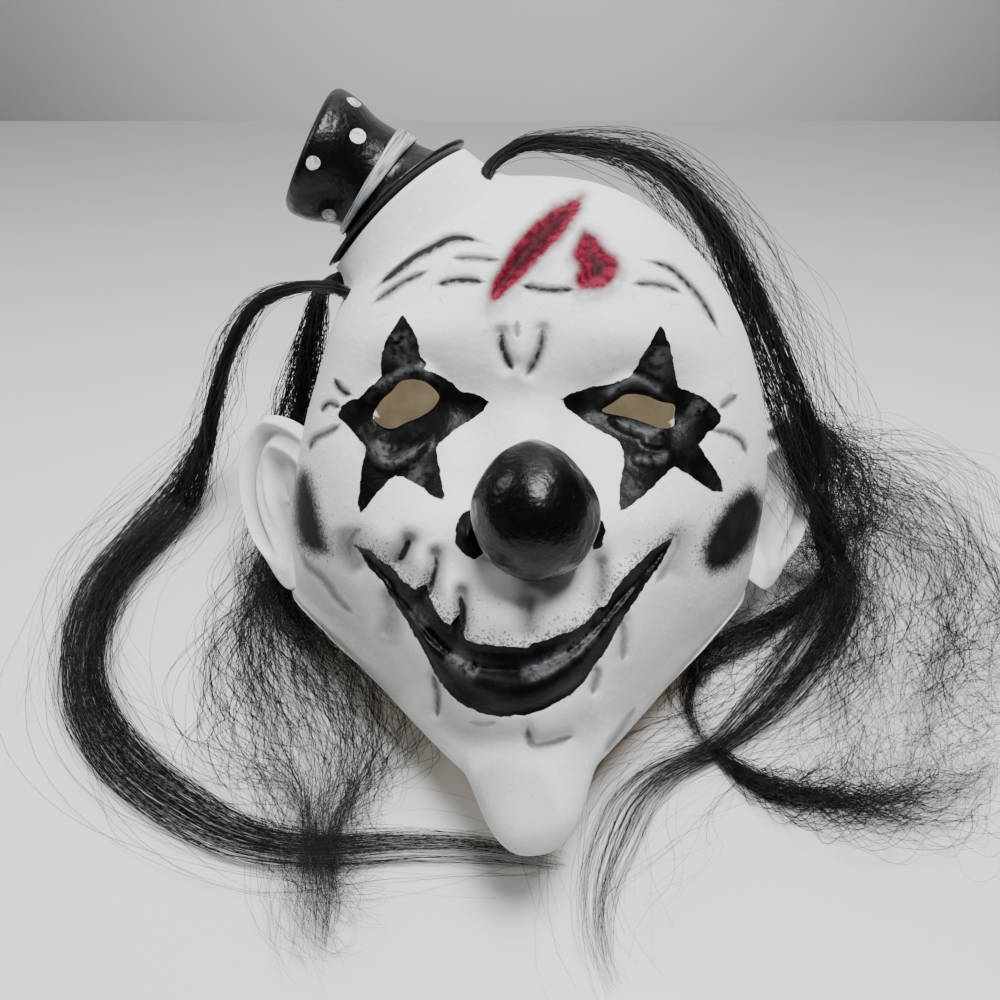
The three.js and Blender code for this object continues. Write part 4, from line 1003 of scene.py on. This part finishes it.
def mark_dots(obj, turn, height, share, places):
    """Distance in mm inside the nearest painted dot, and how white it is."""
    x, z = face_plan(places)
    column = (x - EYE_POINT[0]) / PLAN_MM + FRAME_PIXELS / 2
    row = FRAME_PIXELS / 2 - (z - EYE_POINT[2]) / PLAN_MM
    towards = np.sin(turn) > -0.2
    best = np.full(len(turn), -9.0)
    white = np.zeros(len(turn))
    for px, py, half_width, half_height, degrees, whiteness in SEEN_DOTS:
        c, s = math.cos(math.radians(degrees)), math.sin(math.radians(degrees))
        a = ((column - px) * c + (row - py) * s) / half_width
        b = ((row - py) * c - (column - px) * s) / half_height
        d = np.where(towards, (1 - np.hypot(a, b)) * min(half_width, half_height) * PLAN_MM, -9.0)
        white = np.where(d > best, whiteness, white)
        best = np.maximum(best, d)
    for angle, h, r in BACK_DOTS:
        around = (turn - angle + math.pi) % (2 * math.pi) - math.pi
        d = r - np.hypot(around * 21, height - h)
        white = np.where(d > best, 1.0, white)
        best = np.maximum(best, d)
    mark_points(obj, "dot", np.where(share > 0.5, best, -9.0))
    mark_points(obj, "whiteness", white)


def head_below(skin, radii, turns):
    """How far below the brim the head lies, in mm, at each radius and turn."""
    tree = BVHTree.FromObject(skin, bpy.context.evaluated_depsgraph_get())
    down = Vector(-(HAT_UP @ TIPPED.T))
    depth = np.full((len(radii), len(turns)), SEAT_FOOT)
    for i, radius in enumerate(radii):
        starts = laid(on_hat(np.full(len(turns), radius), turns, np.zeros(len(turns)))) * MM
        for j, start in enumerate(starts):
            hit = tree.ray_cast(Vector(start), down, SEAT_FOOT * MM)
            if hit[0] is not None:
                depth[i, j] = hit[3] / MM
    return depth


def hat_seat(skin, paint):
    """White latex that swells up under the brim and runs out into the head."""
    columns = HAT_COLUMNS
    turns = np.arange(columns) * 2 * math.pi / columns
    radii = np.arange(0.0, SEAT_REACH, 1.0)
    depth = head_below(skin, radii, turns)
    edge = BRIM_RADIUS - 1.3
    beyond = 3.0 + 0.5 * depth[int(edge)]
    reached = np.array([radii[np.nonzero(depth[:, j] < SEAT_FOOT)[0].max()] - 1.0 for j in range(columns)])
    end = np.minimum(edge + np.minimum(beyond, 10.0), reached)
    for _ in range(6):
        end = (np.roll(end, 1) + end + np.roll(end, -1)) / 3

    def head_at(r):
        """Depth of the head below the brim at a radius for each column."""
        return np.array([np.interp(min(r[j], reached[j]), radii, depth[:, j]) for j in range(columns)])

    # the top, the side that falls to the head, and the foot sunk in it
    rows = [(np.full(columns, r), np.full(columns, -0.3)) for r in (CENTRE, 12, 24, edge - 2.0, edge - 0.6)]
    steps = 26
    for k in range(steps + 1):
        s = k / steps
        r = edge + (end - edge) * s
        fall = 1 - (1 - s) ** 3
        rows.append((r, -0.5 * (1 - fall) - head_at(r) * fall - 0.45 * smooth(0.8, 1.0, s)))
    for share in (0.9, 0.7, 0.45, 0.2, 0.0):
        rows.append((end * share + CENTRE, -head_at(end * share) - 1.2))
    obj = add_ball("hat_seat", columns, len(rows) - 1)
    ball = get_points(obj)
    row = np.rint(np.arccos(np.clip(ball[:, 2], -1, 1)) / math.pi * (len(rows) - 1)).astype(int)
    column = np.rint(np.arctan2(ball[:, 1], ball[:, 0]) / (2 * math.pi) * columns).astype(int) % columns
    radius = np.array([r for r, h in rows])[row, column]
    height = np.array([h for r, h in rows])[row, column]
    straight = on_hat(radius, turns[column], np.zeros(len(radius)))
    set_points(obj, laid(straight + np.outer(height, HAT_UP)) * MM)
    recalculate(obj)
    plain_marks(obj)
    return finish_piece(obj, [paint])


def hat(skin, white):
    inner = [(r - CROWN_WALL, min(h, CROWN_HEIGHT - CROWN_WALL)) for r, h in CROWN if r > 3]
    crown, *where = turned("top_hat_crown", [(CENTRE, 34.4)] + inner[::-1] + CROWN, 0.006)
    mark_dots(crown, *where)
    finish_piece(crown, [glossy_black("brushed_black_dotted", 0.3, dotted=True)])
    low, high = BAND_FOOT, BAND_FOOT + BAND_WIDTH
    band_profile = [(19.8, low), (21.2, low), (21.4, low + 1.2), (21.1, low + 3), (21.0, high - 0.3),
                    (19.9, high), (19.8, low + 2), (19.8, low)]
    band, turn, height, *_ = turned("painted_hat_band", band_profile, 0.004)
    mark_points(band, "round", turn)
    mark_points(band, "up", height)
    finish_piece(band, [silver_paint()])
    brim_profile = [(WAIST, 0.0), (26, 0.0), (30, 0.7), (32.2, 1.3), (32.6, 2.0), (32.0, 2.6), (30, 2.3),
                    (26, BRIM_THICKNESS), (WAIST, BRIM_THICKNESS)]
    brim = turned("top_hat_brim", brim_profile, 0.004)[0]
    finish_piece(brim, [glossy_black("brushed_black_brim", 0.32)])
    hat_seat(skin, white)
    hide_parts("hat_crown")
    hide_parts("hat_band")
    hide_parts("hat_brim")


# Hair

random = np.random.default_rng(7)

# Where the locks grow from the head: row and turn in degrees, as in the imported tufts.
ROOTS = {
    "left": [(0.285, -54), (0.263, -62.5)],
    "right": [(0.13, -17.5), None, None, None],
}

# Locks of hair after their root, to the tip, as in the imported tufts: x, y and z in hundredths of the head's
# width, depth and height, then shares of LOCK_WIDTH and LOCK_THICKNESS.
LOCKS = {
    "left": [
        [(-47.5, 5, 54, 0.3, 0.8), (-57, 10.5, 49, 0.4, 0.9), (-64, 12.5, 42, 0.55, 0.9),
         (-71, 14, 31.5, 0.75, 0.9), (-78, 14.5, 17, 1.1, 1.0), (-85.5, 10, 5, 1.5, 1.1),
         (-93, -3, 2, 1.5, 1.1), (-98, -17, 1.9, 1.4, 1.1), (-98.5, -31, 1.9, 1.3, 1.1),
         (-96, -44, 1.9, 1.2, 1.1), (-90, -56, 1.9, 1.25, 1.1), (-80, -67.5, 1.9, 1.25, 1.1),
         (-67, -77, 1.9, 1.15, 1.1), (-54, -84, 2.1, 1.0, 1.2), (-40, -87, 2.4, 0.9, 1.3),
         (-24, -86, 2.0, 0.85, 1.1), (-10, -86.5, 1.6, 0.65, 0.9), (0, -88, 1.3, 0.45, 0.7),
         (8, -90, 1.1, 0.15, 0.5)],
        [(-42.5, 5.5, 53, 0.3, 0.8), (-46.5, 9, 44, 0.35, 0.9), (-50.5, 8.5, 32.5, 0.45, 0.9),
         (-54, 6, 19.5, 0.55, 0.9), (-57, 0, 8.5, 0.65, 1.2), (-58.5, -13, 3.4, 0.9, 1.7),
         (-58, -27, 3.4, 1.3, 2.0), (-54, -40, 3.6, 1.8, 2.2), (-47.5, -52, 3.9, 2.15, 2.4),
         (-42, -64, 4.2, 2.2, 2.6), (-40, -74, 4.2, 2.15, 2.6), (-39.5, -83, 4.2, 1.75, 2.6),
         (-38.5, -91, 4.2, 1.35, 2.6), (-37, -99, 4.0, 1.3, 2.4), (-36.5, -105, 3.4, 1.0, 1.9),
         (-36.5, -107.5, 2.8, 0.5, 1.0)],
    ],
    "right": [
        [(-5, 13, 73, 0.35, 0.9), (1, 22, 72.5, 0.5, 0.9), (9, 26.5, 71, 0.65, 0.9),
         (19, 28, 69.5, 0.7, 0.9), (28, 27.5, 67, 0.75, 0.9), (36.5, 24.5, 62.5, 0.8, 0.9),
         (43.5, 19.5, 57, 0.85, 0.9), (49.3, 13, 50, 0.9, 0.9), (54.5, 4.5, 43, 0.95, 0.9),
         (59, -5.5, 36, 0.95, 0.9), (62.5, -14, 29, 0.95, 1.0), (67.5, -17.5, 19, 0.95, 1.0),
         (72.5, -19, 9, 0.95, 1.2), (74, -23, 4, 1.0, 1.5), (70, -31, 2.9, 1.0, 1.5),
         (63, -40.5, 2.3, 1.05, 1.3), (54, -51, 2.1, 0.95, 1.2), (46.5, -58.5, 1.9, 0.7, 1.1),
         (39.5, -64.5, 1.9, 0.5, 1.1), (29, -70, 1.9, 0.65, 1.1), (21.5, -77, 1.9, 0.85, 1.1),
         (17, -86, 1.9, 0.85, 1.1), (14, -94, 1.7, 0.65, 1.0), (13, -102, 1.5, 0.45, 0.9),
         (13.8, -108.5, 1.3, 0.3, 0.8), (15.5, -114, 1.1, 0.15, 0.6)],
        [(71, -20, 5, 0.55, 1.2), (64, -27.5, 3.8, 0.65, 1.5), (55.5, -33, 3.2, 0.7, 1.4),
         (46.5, -38, 2.8, 0.65, 1.3), (39.5, -43.5, 2.4, 0.55, 1.2), (36, -51, 2.1, 0.5, 1.2),
         (36.5, -58.5, 1.9, 0.45, 1.1), (40.5, -66, 1.8, 0.4, 1.0)],
        [(58.5, -5, 37, 0.5, 0.9), (65, -1, 30, 1.1, 1.6), (73, 2, 21, 1.7, 2.4), (81, 1, 13, 2.2, 3.2),
         (87.5, -4, 8.5, 2.6, 3.6), (90, -14, 6.8, 2.8, 3.8), (88, -26, 6.2, 2.6, 3.6),
         (84, -38, 5.8, 2.3, 3.3), (79, -49, 5, 2.1, 3.0), (74.5, -60, 4.2, 1.9, 2.5),
         (71.5, -70, 3.4, 1.5, 1.9), (70, -79, 2.6, 0.9, 1.3)],
        [(38.5, -64.5, 1.8, 0.4, 1.0), (45, -71.5, 1.8, 0.5, 1.0), (53, -76, 1.8, 0.6, 1.0),
         (62.5, -78, 1.8, 0.65, 1.0), (73, -79, 1.9, 0.75, 1.1), (83.5, -77.5, 1.9, 0.85, 1.1),
         (92, -73, 1.8, 0.6, 1.0), (97.5, -67.5, 1.5, 0.3, 0.8)],
    ],
}

# How each lock is made up: strands, points along each, bundles they part into, drift of a strand and of a
# bundle in mm, bends along the lock, share of strays and how far they drift in mm, size of the curls in mm
# and how many, the share of the lock that its shortest strands lack, how far its end gathers into a knot,
# thickness in mm.
MAKE_UP = {
    "left": [(420, 46, 12, 1.0, 5.5, 2.5, 0.20, 10, 4.0, 3, 0.6, 0, 0.25),
             (330, 88, 9, 3.4, 5.0, 4.0, 0.70, 9, 6.0, 7, 0.1, 0.6, 0.28)],
    "right": [(420, 54, 9, 1.0, 4.5, 2.5, 0.32, 17, 6.0, 3, 0.5, 0, 0.25),
              (150, 44, 5, 1.4, 3.5, 2.0, 0.35, 9, 4.0, 3, 0.3, 0, 0.24),
              (340, 80, 12, 5.0, 8.0, 3.0, 0.75, 15, 7.5, 5, 0.3, 0, 0.23),
              (180, 46, 6, 2.6, 5.0, 3.0, 0.50, 11, 5.0, 4, 0.5, 0, 0.23)],
}
LOCK_NAMES = {"left": ("outer", "inner"), "right": ("main", "loop", "frizz", "lower")}
HAIR_BOX = np.array([[-208.0, -216.0, 0.3], [208.0, 94.0, 206.0]])


def wander(count, steps, bends):
    """Smooth random drift for each strand, about 1 mm wide."""
    s = np.linspace(0, 1, steps)[None, :, None]
    drift = np.zeros((count, steps, 2))
    for k in (1, 2, 3):
        phase = random.uniform(0, 2 * math.pi, (count, 1, 2))
        rate = bends * k * random.uniform(0.6, 1.4, (count, 1, 2))
        drift += np.sin(2 * math.pi * rate * s + phase) / k
    return drift / 1.5


def root_rows(row, degrees):
    """The start of a lock, straight out of the scalp."""
    t, turn = np.array([row]), np.array([math.radians(degrees)])
    foot = outer_head(t, turn)[0]
    one = outer_head(t + 0.004, turn)[0] - outer_head(t - 0.004, turn)[0]
    two = outer_head(t, turn + 0.02)[0] - outer_head(t, turn - 0.02)[0]
    outwards = unit(np.cross(one, two))
    outwards *= np.sign(outwards @ (foot - np.array([0, 60, 20])))
    return [tuple(laid(foot + outwards * rise)) + (0.35, 0.9) for rise in (ROOT_GAP - 0.8, ROOT_RISE)]


def lock_strands(route, root, make_up):
    """Strands that run inside a lock in bundles, with some that stray out of it."""
    count, steps, bundles, drift, bundle_drift, bends, strays, stray_drift = make_up[:8]
    curl, curls, short, gather = make_up[8:12]
    rows = [(x / 100 * HEAD_WIDTH, y / 100 * HEAD_DEPTH, z / 100 * HEAD_HEIGHT, wide, thick)
            for x, y, z, wide, thick in route]
    table = np.array((root_rows(*root) if root else []) + rows)
    lengths = np.concatenate([[0], np.cumsum(np.linalg.norm(np.diff(table[:, :3], axis=0), axis=1))])
    start = np.zeros(count) if root else random.uniform(0, 0.12, count)
    reach = 1 - short * random.uniform(0, 1, count) ** 1.7
    s = start[:, None] + np.linspace(0, 1, steps)[None, :] * (reach - start)[:, None]
    where = np.interp(s * lengths[-1], lengths, np.arange(len(table)) / (len(table) - 1))
    here = through(table, where)
    ahead = through(table, np.clip(where + 0.012, 0, 1)) - through(table, np.clip(where - 0.012, 0, 1))
    ahead = unit(ahead[..., :3])
    across = unit(np.stack([-ahead[..., 1], ahead[..., 0], 0 * ahead[..., 0]], -1))
    over = np.cross(ahead, across)
    grow = smooth(0.02, 0.5, s)[..., None]

    # each bundle keeps its own place in the lock and crosses over its neighbours now and then
    which = random.integers(0, bundles, count)
    angle = random.uniform(0, 2 * math.pi, bundles)
    centre = np.stack([np.cos(angle), np.sin(angle)], -1)
    centre = centre * np.sqrt(random.uniform(0.05, 1.0, bundles))[:, None]
    roam = wander(bundles, steps, 0.8)[which] * 0.35
    own = random.normal(0, 0.17, (count, 1, 2)) * (1 - 0.45 * smooth(0.5, 1.0, s)[..., None])
    inside_lock = centre[which][:, None, :] * (0.4 + 0.6 * grow) + roam * grow + own
    loose = (random.uniform(0, 1, count) < strays)[:, None, None]
    inside_lock = inside_lock * np.where(loose, 1 + 0.9 * grow, 1.0)
    far = np.linalg.norm(inside_lock, axis=-1, keepdims=True)
    inside_lock = np.where(loose | (far < 1), inside_lock, inside_lock / np.maximum(far, 1e-6))
    offset = inside_lock * here[..., 3:] * np.array([LOCK_WIDTH / 2, LOCK_THICKNESS / 2])
    offset = offset + wander(count, steps, bends) * drift * grow
    away = np.where(loose, stray_drift, 0) * smooth(0.0, 0.35, s)[..., None]
    offset = offset + wander(count, steps, 1.2) * away
    offset = offset + wander(bundles, steps, 1.3)[which] * bundle_drift * 0.35 * grow
    offset = offset * (1 - gather * smooth(0.76, 0.9, s))[..., None]
    p = here[..., :3] + across * offset[..., :1] + over * offset[..., 1:]
    # loose strands curl round on themselves
    phase = random.uniform(0, 2 * math.pi, (count, 1, 1))
    round_curl = phase + 2 * math.pi * curls * random.uniform(0.5, 1.3, (count, 1, 1)) * s[..., None]
    size = np.where(loose, curl * random.uniform(0.3, 1.2, (count, 1, 1)), 0.12 * curl)
    size = size * (smooth(0.08, 0.5, s) * (1 + 1.6 * gather * smooth(0.78, 0.9, s)))[..., None]
    p = p + size * (ahead * np.cos(round_curl) + across * np.sin(round_curl))
    # strands that would sink into the table lie on it, one over another
    low = random.uniform(0.25, 2.4, (count, 1))
    lying = low * (0.35 + 0.65 * np.exp(np.minimum(p[..., 2] - low, 0) / 3))
    p[..., 2] = np.where(p[..., 2] < low, lying, p[..., 2])
    return p


def clear_of(tree, strands):
    """Moves the strands that would run through the head out to its surface."""
    for strand in strands:
        for k in range(2, len(strand)):
            place = Vector(strand[k] * MM)
            nearest, normal, *_ = tree.find_nearest(place, 0.014)
            if nearest is not None and (place - nearest).dot(normal) < 0.0005:
                strand[k] = np.array(nearest + normal * 0.0006) / MM
    return strands


def strands_piece(name, strands, thickness_mm, material):
    """Each strand is a thin three-sided tube that tapers to its tip."""
    points = np.clip(strands, HAIR_BOX[0], HAIR_BOX[1]) * MM
    count, steps, _ = points.shape
    ahead = unit(np.gradient(points, axis=1))
    one = unit(np.cross(ahead, [0.31, 0.17, 0.93]))
    two = np.cross(ahead, one)
    half = thickness_mm * MM / 2 * (1 - 0.7 * np.linspace(0, 1, steps) ** 3)[None, :, None]
    half = half * random.uniform(0.7, 1.15, (count, 1, 1))
    ring = [points + half * (one * math.cos(a) + two * math.sin(a)) for a in (0, 2.094, 4.189)]
    vertices = np.stack(ring, axis=2).reshape(-1, 3)
    base = (np.arange(count)[:, None] * steps + np.arange(steps - 1)[None, :]) * 3
    quads = []
    for k, n in ((0, 1), (1, 2), (2, 0)):
        quads.append(np.stack([base + k, base + n, base + n + 3, base + k + 3], axis=-1).reshape(-1, 4))
    mesh = bpy.data.meshes.new(name)
    mesh.from_pydata(vertices, [], np.concatenate(quads))
    mesh.update()
    obj = bpy.data.objects.new(name, mesh)
    bpy.context.scene.collection.objects.link(obj)
    mark_points(obj, "shade", np.repeat(random.uniform(0, 1, count), steps * 3))
    return finish_piece(obj, [material])


def hair(material, skin):
    tree = BVHTree.FromObject(skin, bpy.context.evaluated_depsgraph_get())
    for side, locks in LOCKS.items():
        for route, root, make_up, name in zip(locks, ROOTS[side], MAKE_UP[side], LOCK_NAMES[side]):
            strands = clear_of(tree, lock_strands(route, root, make_up))
            obj = strands_piece(f"hair_{side}_{name}", strands, make_up[-1], material)
            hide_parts("hair_tuft_" + side)


# Stage

WALL_PLACE = 0.472  # metres behind the middle of the mask

# Soft boxes: place, what they face, size and watts
LIGHTS = [
    ("window", (-0.95, 0.30, 0.85), (0.0, 0.0, 0.05), 0.6, 7.0),
    ("ceiling", (0.14, -0.16, 1.15), (0.02, -0.12, 0.0), 0.42, 24.0),
    ("behind", (0.1, 0.25, 0.9), (0.0, 0.5, 0.3), 0.4, 1.6),
]


def stage():
    deselect()
    bpy.ops.mesh.primitive_plane_add(size=3, location=(0, 0, 0))
    table = bpy.context.object
    table.name = "table_top"
    table.data.materials.append(table_card())
    bpy.ops.mesh.primitive_plane_add(size=6, location=(0, WALL_PLACE, 0.5), rotation=(math.pi / 2, 0, 0))
    wall = bpy.context.object
    wall.name = "backdrop"
    wall.data.materials.append(backdrop_paper())


def add_light(name, place, aim, size, power):
    data = bpy.data.lights.new(name, "AREA")
    data.size = size
    data.energy = power
    light = bpy.data.objects.new(name, data)
    light.location = place
    light.rotation_euler = (Vector(aim) - Vector(place)).to_track_quat("-Z", "Y").to_euler()
    bpy.context.scene.collection.objects.link(light)


def lights():
    for light in LIGHTS:
        add_light(*light)
    world = bpy.data.worlds.new("room")
    world.use_nodes = True
    background = world.node_tree.nodes["Background"]
    background.inputs["Color"].default_value = linear("#e3e5e6")
    background.inputs["Strength"].default_value = 0.12
    bpy.context.scene.world = world


def main():
    add_camera()
    paint = painted_face()
    skin = mask_skin(paint, bare_latex())
    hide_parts("mask_shell")
    ear("ear_left", -1, paint)
    ear("ear_right", 1, paint)
    nose(glossy_black("brushed_black_nose", 0.26))
    hat(skin, paint)
    hair(black_hair(), skin)
    stage()
    lights()


main()
